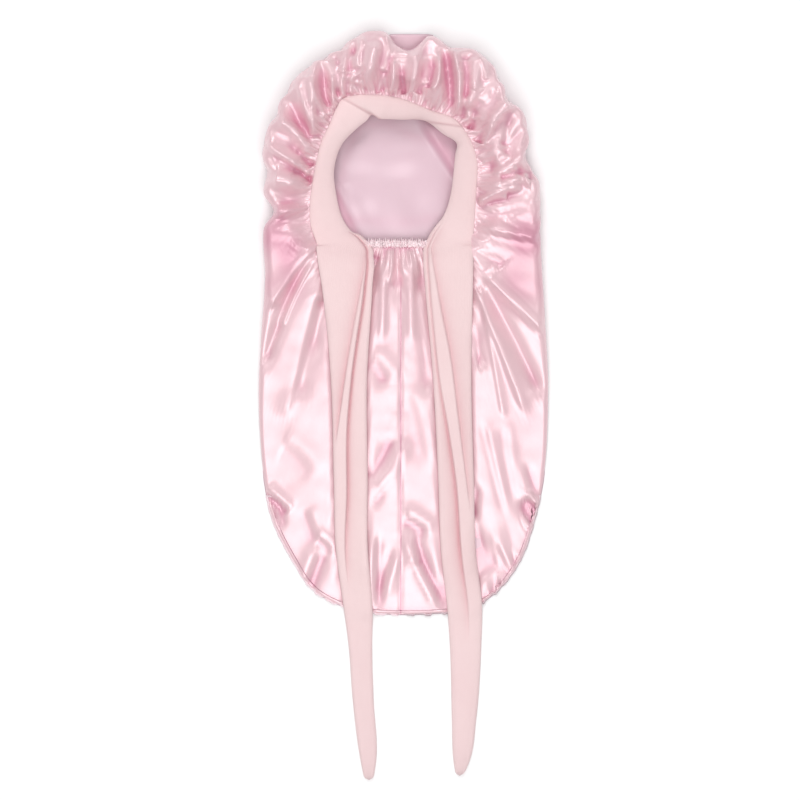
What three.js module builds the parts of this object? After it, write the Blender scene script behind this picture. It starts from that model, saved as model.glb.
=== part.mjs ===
// A long braid bonnet of satin with a knit tie band, lying flat on its back.
// Millimetres. +Y runs to the crown, +X to the right as seen from above, +Z up.
import * as THREE from "three";

// Bag
const BAG_LENGTH = 675;
const BAG_WIDTH = 334;
const SATIN_WALL = 1.2;
const GAP = 0.3;

// Heights of the lying bag above the floor
const CROWN_HEIGHT = 50;
const SEAT_HEIGHT = 28;
const HEM_ROLL = 15;

// Face opening, band, nape and ties
const OPENING_WIDTH = 138;
const OPENING_LENGTH = 140;
const OPENING_DROP = 168;
const OPENING_SHIFT = -9;
const BAND_WIDTH = 25;
const BAND_LAP = 6;
const BAND_DIP = 4;
const KNIT_WALL = 2;
const NAPE_WIDTH = 70;
const NAPE_DROP = 79;
const CASING_DEPTH = 11;
const CASING_THICKNESS = 5;
const TIE_LENGTH_LEFT = 616;
const TIE_LENGTH_RIGHT = 611;
const TIE_WIDTH = 42;
const TIE_FOLD_LIFT = 5;
const TIP_FOLD = 0.15;
const TIP_SHARE = 0.12;

// Folds and gathers
const FOLD_WIDTH = 20;
const FOLD_HEIGHT = 8;
const GATHER_HEIGHT = 3;
const GATHER_REACH = 42;
const GATHER_COUNT = 30;
const NAPE_GATHER = 0.5;
const BACK_CURL = 9;

// Overlocked seam round the lower edge
const SEAM_WIDTH = 3.4;
const SEAM_THICKNESS = 2.6;
const SEAM_WAVE = 0.5;

// The bag's outline, clockwise from the foot of the centre seam.
// across: share of half the bag's width. along: share of its length from the crown's top.
const OUTLINE = [
  { across: -0.02, along: 0.99 },
  { across: -0.22, along: 0.987 },
  { across: -0.43, along: 0.975 },
  { across: -0.63, along: 0.951 },
  { across: -0.74, along: 0.912 },
  { across: -0.9, along: 0.835 },
  { across: -0.965, along: 0.76 },
  { across: -1.0, along: 0.63 },
  { across: -0.985, along: 0.53 },
  { across: -0.955, along: 0.42 },
  { across: -0.96, along: 0.335 },
  { across: -0.9, along: 0.306 },
  { across: -0.96, along: 0.274 },
  { across: -0.943, along: 0.243 },
  { across: -0.965, along: 0.208 },
  { across: -0.925, along: 0.165 },
  { across: -0.83, along: 0.12 },
  { across: -0.75, along: 0.086 },
  { across: -0.62, along: 0.058 },
  { across: -0.45, along: 0.032 },
  { across: -0.3, along: 0.006 },
  { across: -0.17, along: 0.001 },
  { across: -0.05, along: 0.018 },
  { across: 0.08, along: 0.03 },
  { across: 0.2, along: 0.018 },
  { across: 0.285, along: 0.027 },
  { across: 0.43, along: 0.03 },
  { across: 0.55, along: 0.047 },
  { across: 0.65, along: 0.083 },
  { across: 0.8, along: 0.136 },
  { across: 0.855, along: 0.185 },
  { across: 0.85, along: 0.222 },
  { across: 0.93, along: 0.257 },
  { across: 0.95, along: 0.36 },
  { across: 0.98, along: 0.5 },
  { across: 1.0, along: 0.61 },
  { across: 0.975, along: 0.75 },
  { across: 0.91, along: 0.828 },
  { across: 0.81, along: 0.9 },
  { across: 0.645, along: 0.955 },
  { across: 0.45, along: 0.981 },
  { across: 0.24, along: 0.988 },
];

// The stretch of the back's outline that shows past the front at the crown's top.
const BACK_TOP = { from: -0.12, to: 0.27, rise: 0.024 };

// Height of the puffed front along the bag, as a share of CROWN_HEIGHT.
const PUFF = [
  { along: 0.0, height: 0.74 },
  { along: 0.07, height: 1.0 },
  { along: 0.2, height: 0.8 },
  { along: 0.36, height: 0.58 },
  { along: 0.55, height: 0.4 },
  { along: 0.75, height: 0.34 },
  { along: 1.0, height: 0.3 },
];

// Height of the front's inner edge, which the band sits on, as a share of SEAT_HEIGHT.
const SEAT = [
  { along: 0.05, height: 1.0 },
  { along: 0.14, height: 1.0 },
  { along: 0.25, height: 0.8 },
  { along: 0.34, height: 0.58 },
  { along: 0.37, height: 0.52 },
  { along: 0.6, height: 0.52 },
];

// The band round the opening, from the left nape corner over the brow to the right one.
// turn: degrees from the brow to the inner edge's point. reach: share of the opening there.
// outer: degrees to the outer edge's point. width: share of BAND_WIDTH beyond the opening.
const BAND = [
  { turn: -153, reach: 1.12, outer: -129, width: 2.12 },
  { turn: -140, reach: 1.14, outer: -119, width: 1.7 },
  { turn: -126, reach: 1.1, outer: -109, width: 1.4 },
  { turn: -101, reach: 1.02, outer: -98, width: 1.13 },
  { turn: -81, reach: 1.03, outer: -82, width: 0.95 },
  { turn: -58, reach: 1.04, outer: -64, width: 1.0 },
  { turn: -38, reach: 1.06, outer: -50, width: 1.12 },
  { turn: -21, reach: 1.08, outer: -35, width: 1.52 },
  { turn: -3, reach: 0.95, outer: -4, width: 0.86 },
  { turn: 30, reach: 1.03, outer: 29, width: 0.66 },
  { turn: 52, reach: 1.1, outer: 46, width: 1.0 },
  { turn: 65, reach: 1.08, outer: 62, width: 1.06 },
  { turn: 80, reach: 0.97, outer: 78, width: 1.04 },
  { turn: 104, reach: 0.95, outer: 97, width: 0.98 },
  { turn: 129, reach: 1.01, outer: 120, width: 1.4 },
  { turn: 151, reach: 1.11, outer: 131, width: 1.95 },
];

// Where the band folds over itself. turn and length in degrees, side and breadth as shares
// across it with 0 at the opening, lift in millimetres.
const BAND_FOLDS = [
  { turn: -27, side: 0.45, length: 16, breadth: 0.4, lift: 1.0 },
  { turn: 50, side: 0.3, length: 14, breadth: 0.4, lift: 0.8 },
];

// Ties. along: share of the tie's length from the nape. inner: the inner edge's place, as a
// share of half the nape's width. width: share of TIE_WIDTH.
const TIE_LEFT = [
  { along: 0.0, inner: 0.86, width: 1.62 },
  { along: 0.076, inner: 0.88, width: 1.26 },
  { along: 0.25, inner: 0.94, width: 0.99 },
  { along: 0.44, inner: 0.92, width: 0.93 },
  { along: 0.56, inner: 0.92, width: 0.88 },
  { along: 0.68, inner: 0.76, width: 0.79 },
  { along: 0.75, inner: 0.78, width: 0.64 },
  { along: 0.85, inner: 0.73, width: 0.57 },
  { along: 0.96, inner: 0.64, width: 0.44 },
  { along: 1.0, inner: 0.74, width: 0.24 },
];
const TIE_RIGHT = [
  { along: 0.0, inner: 0.99, width: 1.28 },
  { along: 0.076, inner: 1.02, width: 1.22 },
  { along: 0.25, inner: 1.22, width: 1.04 },
  { along: 0.44, inner: 1.4, width: 0.98 },
  { along: 0.58, inner: 1.5, width: 0.96 },
  { along: 0.68, inner: 1.7, width: 0.96 },
  { along: 0.76, inner: 1.8, width: 0.85 },
  { along: 0.89, inner: 1.86, width: 0.67 },
  { along: 0.975, inner: 1.92, width: 0.42 },
  { along: 1.0, inner: 1.99, width: 0.2 },
];

// Lengthwise folds across a tie. side: 0 at its outer edge, 1 at its inner edge.
// lift: share of TIE_FOLD_LIFT.
const TIE_FOLD = [
  { side: 0.0, lift: 0.0 },
  { side: 0.2, lift: 0.25 },
  { side: 0.42, lift: 0.2 },
  { side: 0.52, lift: 0.0 },
  { side: 0.62, lift: 0.8 },
  { side: 0.74, lift: 0.15 },
  { side: 0.88, lift: 1.0 },
  { side: 1.0, lift: 0.2 },
];

// Ridges and grooves of the front, each from one place to another on the bag.
// x, y: shares of half its width and of its length. width, height: shares of FOLD_WIDTH and
// FOLD_HEIGHT, with a groove's height below zero.
const FOLDS = [
  { x1: -0.42, y1: 0.11, x2: -0.24, y2: 0.02, width: 1.1, height: 1.0 },
  { x1: -0.06, y1: 0.11, x2: -0.06, y2: 0.03, width: 0.6, height: -1.1 },
  { x1: 0.06, y1: 0.11, x2: 0.08, y2: 0.05, width: 0.7, height: 0.7 },
  { x1: 0.24, y1: 0.13, x2: 0.28, y2: 0.04, width: 0.6, height: -0.9 },
  { x1: 0.38, y1: 0.14, x2: 0.43, y2: 0.05, width: 0.8, height: 0.8 },
  { x1: 0.48, y1: 0.17, x2: 0.6, y2: 0.08, width: 0.6, height: -0.7 },
  { x1: 0.53, y1: 0.22, x2: 0.8, y2: 0.15, width: 1.3, height: 1.1 },
  { x1: 0.52, y1: 0.265, x2: 0.86, y2: 0.225, width: 0.5, height: -1.2 },
  { x1: 0.54, y1: 0.3, x2: 0.9, y2: 0.27, width: 0.8, height: 0.6 },
  { x1: 0.54, y1: 0.335, x2: 0.9, y2: 0.345, width: 0.7, height: -0.6 },
  { x1: 0.54, y1: 0.35, x2: 0.93, y2: 0.46, width: 1.0, height: 0.8 },
  { x1: 0.54, y1: 0.42, x2: 0.9, y2: 0.6, width: 0.9, height: -0.5 },
  { x1: 0.55, y1: 0.47, x2: 0.86, y2: 0.7, width: 1.0, height: 0.5 },
  { x1: 0.6, y1: 0.82, x2: 0.66, y2: 0.95, width: 0.7, height: -0.5 },
  { x1: -0.5, y1: 0.13, x2: -0.56, y2: 0.06, width: 0.6, height: -0.9 },
  { x1: -0.54, y1: 0.16, x2: -0.72, y2: 0.1, width: 0.8, height: 0.8 },
  { x1: -0.6, y1: 0.2, x2: -0.84, y2: 0.14, width: 0.6, height: -0.7 },
  { x1: -0.62, y1: 0.23, x2: -0.92, y2: 0.18, width: 0.9, height: 0.8 },
  { x1: -0.63, y1: 0.262, x2: -0.92, y2: 0.242, width: 0.5, height: -0.6 },
  { x1: -0.64, y1: 0.285, x2: -0.9, y2: 0.275, width: 0.6, height: 0.5 },
  { x1: -0.64, y1: 0.325, x2: -0.86, y2: 0.31, width: 0.6, height: 0.6 },
  { x1: -0.62, y1: 0.37, x2: -0.92, y2: 0.5, width: 0.9, height: 0.8 },
  { x1: -0.58, y1: 0.41, x2: -0.8, y2: 0.54, width: 0.8, height: -0.5 },
  { x1: -0.56, y1: 0.5, x2: -0.84, y2: 0.72, width: 1.0, height: 0.5 },
  { x1: -0.13, y1: 0.38, x2: -0.15, y2: 0.52, width: 0.5, height: 0.3 },
  { x1: 0.04, y1: 0.38, x2: 0.05, y2: 0.48, width: 0.5, height: 0.3 },
];

// Fineness of the sheets
const FRONT_COLUMNS = 104;
const FRONT_MIDDLE_ROWS = 6;
const BAND_STATIONS = 56;
const TIE_STATIONS = 30;
const CASING_STATIONS = 36;
const CASING_SIDES = 6;
const CASING_RUFFLES = 9;
const SEAM_STEP = 9;
const SEAM_SIDES = 5;

// How the sheets lie on each other
const LAP_STEPS = [0, 1, 2.2];
const ROLL_STEPS = [1, 0.6, 0.3, 0.1, 0];
const ROLL_WIDTH = 1.6 * HEM_ROLL;
const BAND_SIDES = [0, 0.25, 0.5, 0.75, 1];
const BAND_REACH = 4;
const LAY_GAP = 0.6;
const BACK_HUB = 12;
const BACK_MARGIN = 1;
const CASING_INSET = 3;
const SEAM_FROM = 0.8;
const SEAM_TOP = GAP + SEAM_THICKNESS;
const DRAPE_SLOPE = 0.4;
const DRAPE_REACH = 5;

const COLOURS = {
  satin: 0xf1d1d6,
  satinInside: 0xe6cbd3,
  knit: 0xf4d7d8,
};

const HALF_WIDTH = BAG_WIDTH / 2;
const OPENING_CENTRE = new THREE.Vector2(OPENING_SHIFT, BAG_LENGTH - OPENING_DROP);
const BACK_TOP_FACE = SATIN_WALL;
const RADIANS = Math.PI / 180;

const clamp = THREE.MathUtils.clamp;
const mix = THREE.MathUtils.lerp;
const smooth = (t) => THREE.MathUtils.smoothstep(t, 0, 1);

// A smooth curve through a table's column, as a function of another column.
function curveThrough(rows, key, value) {
  const slopeAt = (i) => {
    const before = rows[Math.max(i - 1, 0)];
    const after = rows[Math.min(i + 1, rows.length - 1)];
    return (after[value] - before[value]) / (after[key] - before[key]);
  };
  return (at) => {
    const x = clamp(at, rows[0][key], rows[rows.length - 1][key]);
    let i = 0;
    while (i < rows.length - 2 && x > rows[i + 1][key]) i += 1;
    const span = rows[i + 1][key] - rows[i][key];
    const t = (x - rows[i][key]) / span;
    const a = rows[i][value];
    const b = rows[i + 1][value];
    const bend = (1 - t) * slopeAt(i) - t * slopeAt(i + 1) + ((b - a) / span) * (2 * t - 1);
    return mix(a, b, t) + t * (1 - t) * span * bend;
  };
}

// A place on the bag from its shares, across and along.
function place(across, along) {
  return new THREE.Vector2(across * HALF_WIDTH, BAG_LENGTH * (1 - along));
}

// The share along the bag of a place's y.
function shareAlong(y) {
  return 1 - y / BAG_LENGTH;
}

// Degrees from the brow, clockwise, of a place seen from the opening's centre.
function turnOf(point) {
  const x = point.x - OPENING_CENTRE.x;
  const y = point.y - OPENING_CENTRE.y;
  return Math.atan2(x, y) / RADIANS;
}

// The place at a turn and a distance from the opening's centre.
function atTurn(turn, distance) {
  const x = OPENING_CENTRE.x + distance * Math.sin(turn * RADIANS);
  const y = OPENING_CENTRE.y + distance * Math.cos(turn * RADIANS);
  return new THREE.Vector2(x, y);
}

// The opening's own radius at a turn: an ellipse.
function openingRadius(turn) {
  const across = Math.sin(turn * RADIANS) / (OPENING_WIDTH / 2);
  const along = Math.cos(turn * RADIANS) / (OPENING_LENGTH / 2);
  return 1 / Math.hypot(across, along);
}

// A closed smooth loop through places, as evenly spaced points.
function closedLoop(points, count) {
  const knots = points.map((p) => new THREE.Vector3(p.x, p.y, 0));
  const curve = new THREE.CatmullRomCurve3(knots, true, "centripetal");
  curve.arcLengthDivisions = 4 * count;
  const spaced = curve.getSpacedPoints(count).slice(0, count);
  return spaced.map((p) => new THREE.Vector2(p.x, p.y));
}

// The least distance from a place to a closed loop.
function distanceTo(loop, x, y) {
  let least = Infinity;
  for (let i = 0; i < loop.length; i += 1) {
    const a = loop[i];
    const b = loop[(i + 1) % loop.length];
    least = Math.min(least, distanceToSegment(x, y, a.x, a.y, b.x, b.y).distance);
  }
  return least;
}

// The distance from a place to a segment, and the share along it of the nearest point.
function distanceToSegment(x, y, ax, ay, bx, by) {
  const dx = bx - ax;
  const dy = by - ay;
  const share = clamp(((x - ax) * dx + (y - ay) * dy) / (dx * dx + dy * dy), 0, 1);
  return { distance: Math.hypot(x - ax - share * dx, y - ay - share * dy), share };
}

const outline = closedLoop(OUTLINE.map((row) => place(row.across, row.along)), 480);

// The back's outline is the front's, but for the stretch that shows at the crown's top.
const backOutline = outline.map((p) => {
  const across = p.x / HALF_WIDTH;
  if (p.y < OPENING_CENTRE.y) return p.clone();
  const share = (across - BACK_TOP.from) / (BACK_TOP.to - BACK_TOP.from);
  const bump = share > 0 && share < 1 ? Math.sin(Math.PI * share) : 0;
  return new THREE.Vector2(p.x, p.y + BACK_TOP.rise * BAG_LENGTH * bump);
});

// The front's inner edge runs under the band's outer edge and across the nape.
function makeRim() {
  const rows = BAND.slice(1, -1).map((row) => ({
    turn: row.outer,
    radius: openingRadius(row.outer) + BAND_WIDTH * row.width - BAND_LAP,
  }));
  const corner = Math.atan2(NAPE_WIDTH / 2, -NAPE_DROP) / RADIANS;
  const cornerRadius = Math.hypot(NAPE_WIDTH / 2, NAPE_DROP);
  const left = [
    { turn: -180, radius: NAPE_DROP },
    { turn: -corner, radius: cornerRadius },
  ];
  const right = [
    { turn: corner, radius: cornerRadius },
    { turn: 180, radius: NAPE_DROP },
  ];
  return curveThrough([...left, ...rows, ...right], "turn", "radius");
}
const rimRadius = makeRim();
const rimLoop = Array.from({ length: 180 }, (_, i) => {
  const turn = -180 + 2 * i;
  return atTurn(turn, rimRadius(turn));
});

const puffHeight = curveThrough(PUFF, "along", "height");
const seatHeight = curveThrough(SEAT, "along", "height");

// How far the back's edge lifts off the floor: only where it shows at the crown's top.
function backLift(x, y) {
  const across = x / HALF_WIDTH;
  const share = (across - BACK_TOP.from) / (BACK_TOP.to - BACK_TOP.from);
  if (share <= 0 || share >= 1 || y < OPENING_CENTRE.y) return 0;
  const fromTop = BAG_LENGTH - y;
  return BACK_CURL * Math.sin(Math.PI * share) ** 2 * smooth(1 - fromTop / (2 * HEM_ROLL));
}

// The sum of the folds at a place.
function foldHeight(x, y) {
  let sum = 0;
  for (const fold of FOLDS) {
    const a = place(fold.x1, fold.y1);
    const b = place(fold.x2, fold.y2);
    const near = distanceToSegment(x, y, a.x, a.y, b.x, b.y);
    const spread = near.distance / (FOLD_WIDTH * fold.width);
    sum += FOLD_HEIGHT * fold.height * Math.exp(-4 * spread * spread);
  }
  return sum;
}

// Gathers that fan out from the band's outer edge and from the nape, fading outwards.
function gatherHeight(x, y, fromRim) {
  const turn = turnOf({ x, y });
  const fade = smooth(fromRim / BAND_LAP - 1) * smooth(1 - fromRim / GATHER_REACH);
  const uneven = 1 + 0.35 * Math.sin(3 * turn * RADIANS + 0.8);
  const ease = mix(1, NAPE_GATHER, smooth((Math.abs(turn) - 120) / 30));
  return GATHER_HEIGHT * ease * fade * uneven * Math.sin(GATHER_COUNT * turn * RADIANS);
}

// Height of the front's outer side: a roll at the hem, a puff that follows the bag's length
// and sinks to the band's seat, with folds and gathers on it.
function frontHeight(x, y) {
  const fromHem = distanceTo(outline, x, y);
  const fromRim = distanceTo(rimLoop, x, y);
  const along = shareAlong(y);
  const foot = BACK_TOP_FACE + backLift(x, y) + GAP;
  const seat = SEAT_HEIGHT * seatHeight(along);
  const puff = CROWN_HEIGHT * puffHeight(along);
  const rise = smooth((fromRim - BAND_LAP) / GATHER_REACH);
  const folds = rise * foldHeight(x, y) + gatherHeight(x, y, fromRim);
  const across = clamp(fromHem / ROLL_WIDTH, 0, 1);
  const roll = Math.sqrt(1 - (1 - across) ** 2);
  return foot + (mix(seat, puff, rise) + folds - foot) * roll;
}

// A closed solid from two grids of points, the top one and the bottom one under it.
// around: the columns close on themselves. hub: a top and a bottom point that fill the
// first row's ring.
function sheetSolid(top, bottom, { around = false, hub = null } = {}) {
  const rows = top.length;
  const columns = top[0].length;
  const points = [...top.flat(), ...bottom.flat(), ...(hub ?? [])];
  const index = [];
  const at = (side, r, c) => side * rows * columns + r * columns + (c % columns);
  const quad = (a, b, c, d) => index.push(a, b, c, a, c, d);
  const last = around ? columns : columns - 1;
  for (let r = 0; r < rows - 1; r += 1) {
    for (let c = 0; c < last; c += 1) {
      quad(at(0, r, c), at(0, r, c + 1), at(0, r + 1, c + 1), at(0, r + 1, c));
      quad(at(1, r, c), at(1, r + 1, c), at(1, r + 1, c + 1), at(1, r, c + 1));
    }
  }
  const end = rows - 1;
  for (let c = 0; c < last; c += 1) {
    quad(at(0, end, c), at(0, end, c + 1), at(1, end, c + 1), at(1, end, c));
    if (hub) {
      const centre = 2 * rows * columns;
      index.push(centre, at(0, 0, c + 1), at(0, 0, c));
      index.push(centre + 1, at(1, 0, c), at(1, 0, c + 1));
    } else {
      quad(at(0, 0, c + 1), at(0, 0, c), at(1, 0, c), at(1, 0, c + 1));
    }
  }
  if (!around) {
    for (let r = 0; r < end; r += 1) {
      const c = columns - 1;
      quad(at(0, r, 0), at(0, r + 1, 0), at(1, r + 1, 0), at(1, r, 0));
      quad(at(0, r + 1, c), at(0, r, c), at(1, r, c), at(1, r + 1, c));
    }
  }
  return solidFrom(points, index);
}

function solidFrom(points, index) {
  const positions = points.flatMap((p) => [p.x, p.y, p.z]);
  const geometry = new THREE.BufferGeometry();
  geometry.setAttribute("position", new THREE.Float32BufferAttribute(positions, 3));
  geometry.setIndex(index);
  return geometry;
}

// The grid moved along its own normals by a distance.
function offsetGrid(grid, distance, around) {
  const rows = grid.length;
  const columns = grid[0].length;
  const wrap = (c) => (around ? (c + columns) % columns : clamp(c, 0, columns - 1));
  return grid.map((line, r) =>
    line.map((point, c) => {
      const before = grid[Math.max(r - 1, 0)][c];
      const after = grid[Math.min(r + 1, rows - 1)][c];
      const down = after.clone().sub(before);
      const across = line[wrap(c + 1)].clone().sub(line[wrap(c - 1)]);
      const normal = across.cross(down).normalize();
      return point.clone().addScaledVector(normal, distance);
    }),
  );
}

function makeMesh(name, geometry, colour, roughness) {
  const material = new THREE.MeshStandardMaterial({ color: colour, roughness, metalness: 0 });
  geometry.computeVertexNormals();
  const mesh = new THREE.Mesh(geometry, material);
  mesh.name = name;
  return mesh;
}

// Spokes of the bag, from the front's inner edge to the hem, spaced by both their lengths.
function makeSpokes(count) {
  const ring = outline.map((hem) => {
    const turn = turnOf(hem);
    return { hem, rim: atTurn(turn, rimRadius(turn)) };
  });
  const travelled = [0];
  ring.forEach((spoke, i) => {
    const next = ring[(i + 1) % ring.length];
    const step = spoke.hem.distanceTo(next.hem) + spoke.rim.distanceTo(next.rim);
    travelled.push(travelled[i] + step);
  });
  const total = travelled[ring.length];
  return Array.from({ length: count }, (_, k) => {
    const target = (total * k) / count;
    const i = travelled.findIndex((sum, j) => travelled[j + 1] > target);
    const share = (target - travelled[i]) / (travelled[i + 1] - travelled[i]);
    const hem = ring[i].hem.clone().lerp(ring[(i + 1) % ring.length].hem, share);
    const back = backOutline[i].clone().lerp(backOutline[(i + 1) % ring.length], share);
    const turn = turnOf(hem);
    const direction = atTurn(turn, 1).sub(OPENING_CENTRE);
    return { hem, rim: atTurn(turn, rimRadius(turn)), back, direction };
  });
}
const spokes = makeSpokes(FRONT_COLUMNS);

// Places along a spoke: close together under the band and round the hem's roll.
function frontPlaces(spoke) {
  const length = spoke.rim.distanceTo(spoke.hem);
  const probe = spoke.hem.clone().lerp(spoke.rim, 0.04);
  const slant = distanceTo(outline, probe.x, probe.y) / (0.04 * length);
  const start = LAP_STEPS.map((share) => (share * BAND_LAP) / length);
  const end = ROLL_STEPS.map((share) => 1 - (share * ROLL_WIDTH) / (length * slant));
  const from = start[start.length - 1];
  const to = end[0];
  const middle = Array.from({ length: FRONT_MIDDLE_ROWS }, (_, i) =>
    mix(from, to, (i + 1) / (FRONT_MIDDLE_ROWS + 1)),
  );
  return [...start, ...middle, ...end].map((share) => spoke.rim.clone().lerp(spoke.hem, share));
}

function lifted(point, height) {
  return new THREE.Vector3(point.x, point.y, height);
}

// Turns a list of columns into a list of rows.
function transpose(lines) {
  return lines[0].map((_, i) => lines.map((line) => line[i]));
}

function frontGrid() {
  const lines = spokes.map((spoke) =>
    frontPlaces(spoke).map((p) => lifted(p, frontHeight(p.x, p.y))),
  );
  return transpose(lines);
}

function makeFront(grid) {
  const inside = offsetGrid(grid, -SATIN_WALL, true);
  const foot = grid.length - 1;
  inside[foot].forEach((point, c) => {
    point.z = grid[foot][c].z;
  });
  inside[0].forEach((point, c) => {
    point.set(grid[0][c].x, grid[0][c].y, grid[0][c].z - SATIN_WALL);
  });
  const geometry = sheetSolid(grid, inside, { around: true });
  return makeMesh("front_panel", geometry, COLOURS.satin, 0.32);
}

// The back: one flat sheet whose edge reaches just past the front's hem.
function makeBack() {
  const lines = spokes.map((spoke) => {
    const hub = OPENING_CENTRE.clone().addScaledVector(spoke.direction, BACK_HUB);
    const nearHem = spoke.hem.clone().addScaledVector(spoke.direction, -HEM_ROLL);
    const edge = spoke.back.clone().addScaledVector(spoke.direction, BACK_MARGIN);
    const places = [hub, nearHem, spoke.hem, edge];
    return places.map((p) => lifted(p, BACK_TOP_FACE + backLift(p.x, p.y)));
  });
  const top = transpose(lines);
  const bottom = top.map((line) => line.map((p) => lifted(p, p.z - SATIN_WALL)));
  const centre = lifted(OPENING_CENTRE, BACK_TOP_FACE);
  const hub = [centre, lifted(OPENING_CENTRE, 0)];
  const geometry = sheetSolid(top, bottom, { around: true, hub });
  return makeMesh("back_panel", geometry, COLOURS.satinInside, 0.35);
}

// The top of a faceted grid at a place: its highest facet there, or nothing off the grid.
function surfaceOf(grid) {
  const facets = [];
  for (let r = 0; r < grid.length - 1; r += 1) {
    for (let c = 0; c < grid[r].length; c += 1) {
      const next = (c + 1) % grid[r].length;
      facets.push([grid[r][c], grid[r][next], grid[r + 1][next]]);
      facets.push([grid[r][c], grid[r + 1][next], grid[r + 1][c]]);
    }
  }
  return (x, y) => {
    let height = -Infinity;
    for (const [a, b, c] of facets) {
      const area = (b.x - a.x) * (c.y - a.y) - (c.x - a.x) * (b.y - a.y);
      const u = ((x - a.x) * (c.y - a.y) - (c.x - a.x) * (y - a.y)) / area;
      const v = ((b.x - a.x) * (y - a.y) - (x - a.x) * (b.y - a.y)) / area;
      if (u < 0 || v < 0 || u + v > 1) continue;
      height = Math.max(height, a.z + u * (b.z - a.z) + v * (c.z - a.z));
    }
    return height;
  };
}

// The highest point of a surface round a place, within a reach along X and one along Y.
function highestNear(surface, p, reachX, reachY) {
  let height = -Infinity;
  for (const dx of [-1, 0, 1]) {
    for (const dy of [-1, -0.5, 0, 0.5, 1]) {
      height = Math.max(height, surface(p.x + dx * reachX, p.y + dy * reachY));
    }
  }
  return height;
}

// The sum of the band's folds at a place on it.
function bandFold(turn, side) {
  let sum = 0;
  for (const fold of BAND_FOLDS) {
    const along = (turn - fold.turn) / fold.length;
    const across = (side - fold.side) / fold.breadth;
    sum += fold.lift * Math.exp(-along * along - across * across);
  }
  return sum;
}

// The band's places, station by station from the left nape corner, inner edge first.
function bandPlaces() {
  const rows = BAND.map((row, i) => {
    const inner = atTurn(row.turn, openingRadius(row.turn) * row.reach);
    const outer = atTurn(row.outer, openingRadius(row.outer) + BAND_WIDTH * row.width);
    return { at: i, innerX: inner.x, innerY: inner.y, outerX: outer.x, outerY: outer.y };
  });
  const innerX = curveThrough(rows, "at", "innerX");
  const innerY = curveThrough(rows, "at", "innerY");
  const outerX = curveThrough(rows, "at", "outerX");
  const outerY = curveThrough(rows, "at", "outerY");
  return Array.from({ length: BAND_STATIONS + 1 }, (_, k) => {
    const at = ((rows.length - 1) * k) / BAND_STATIONS;
    const inner = new THREE.Vector2(innerX(at), innerY(at));
    const outer = new THREE.Vector2(outerX(at), outerY(at));
    return BAND_SIDES.map((side) => inner.clone().lerp(outer, side));
  });
}

function makeBand(places, surface) {
  const under = places.map((line) =>
    line.map((p, j) => {
      const side = BAND_SIDES[j];
      const seat = SEAT_HEIGHT * seatHeight(shareAlong(p.y)) - BAND_DIP * (1 - side);
      const rest = highestNear(surface, p, BAND_REACH, BAND_REACH);
      return lifted(p, Math.max(seat, rest) + LAY_GAP);
    }),
  );
  const top = under.map((line) =>
    line.map((p, j) => {
      const fold = bandFold(turnOf(p), BAND_SIDES[j]);
      return lifted(p, p.z + KNIT_WALL + fold);
    }),
  );
  const geometry = sheetSolid(transpose(top), transpose(under));
  return makeMesh("headband", geometry, COLOURS.knit, 0.9);
}

// A tie: it starts along the band's end, runs down the front and over the hem to the floor.
function makeTie(name, rows, length, mirror, end, surface) {
  const innerShare = curveThrough(rows, "along", "inner");
  const widthShare = curveThrough(rows, "along", "width");
  const nape = OPENING_CENTRE.y - NAPE_DROP;
  const stations = Array.from({ length: TIE_STATIONS + 1 }, (_, k) => {
    const along = k / TIE_STATIONS;
    const leave = smooth(along / rows[1].along);
    return TIE_FOLD.map((fold) => {
      const start = end.outer.clone().lerp(end.inner, fold.side);
      const inner = (innerShare(along) * NAPE_WIDTH) / 2;
      const reach = inner + widthShare(along) * TIE_WIDTH * (1 - fold.side);
      const x = mix(start.x, OPENING_CENTRE.x + mirror * reach, leave);
      const y = mix(start.y, nape, leave) - along * length - GAP;
      return new THREE.Vector2(x, y);
    });
  });
  const ground = stations.map((line) => line.map((p) => groundUnder(surface, p)));
  const draped = ground.map((line, k) =>
    line.map((_, j) =>
      ground.reduce((most, other, m) => {
        const apart = stations[k][j].distanceTo(stations[m][j]);
        return Math.max(most, other[j] - DRAPE_SLOPE * apart);
      }, 0),
    ),
  );
  const under = stations.map((line, k) =>
    line.map((p, j) => {
      const along = k / TIE_STATIONS;
      const flatten = mix(1, TIP_FOLD, smooth(along)) * smooth((1 - along) / TIP_SHARE);
      const fold = TIE_FOLD_LIFT * TIE_FOLD[j].lift * flatten;
      return lifted(p, draped[k][j] + fold);
    }),
  );
  const top = under.map((line) => line.map((p) => lifted(p, p.z + KNIT_WALL)));
  const ordered = (grid) => {
    const rowsOfGrid = transpose(grid);
    return mirror > 0 ? rowsOfGrid.reverse() : rowsOfGrid;
  };
  const geometry = sheetSolid(ordered(top), ordered(under));
  return makeMesh(name, geometry, COLOURS.knit, 0.9);
}

// What a tie rests on at a place: the front, the seam round the hem, or the floor.
function groundUnder(surface, p) {
  const front = highestNear(surface, p, DRAPE_REACH, 2 * DRAPE_REACH);
  const fromHem = distanceTo(outline, p.x, p.y);
  const besideHem = p.y < OPENING_CENTRE.y && fromHem < SEAM_WIDTH + 2 * DRAPE_REACH;
  const seam = besideHem ? SEAM_TOP + GAP : 0;
  return Math.max(front + LAY_GAP, seam, 0);
}

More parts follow.
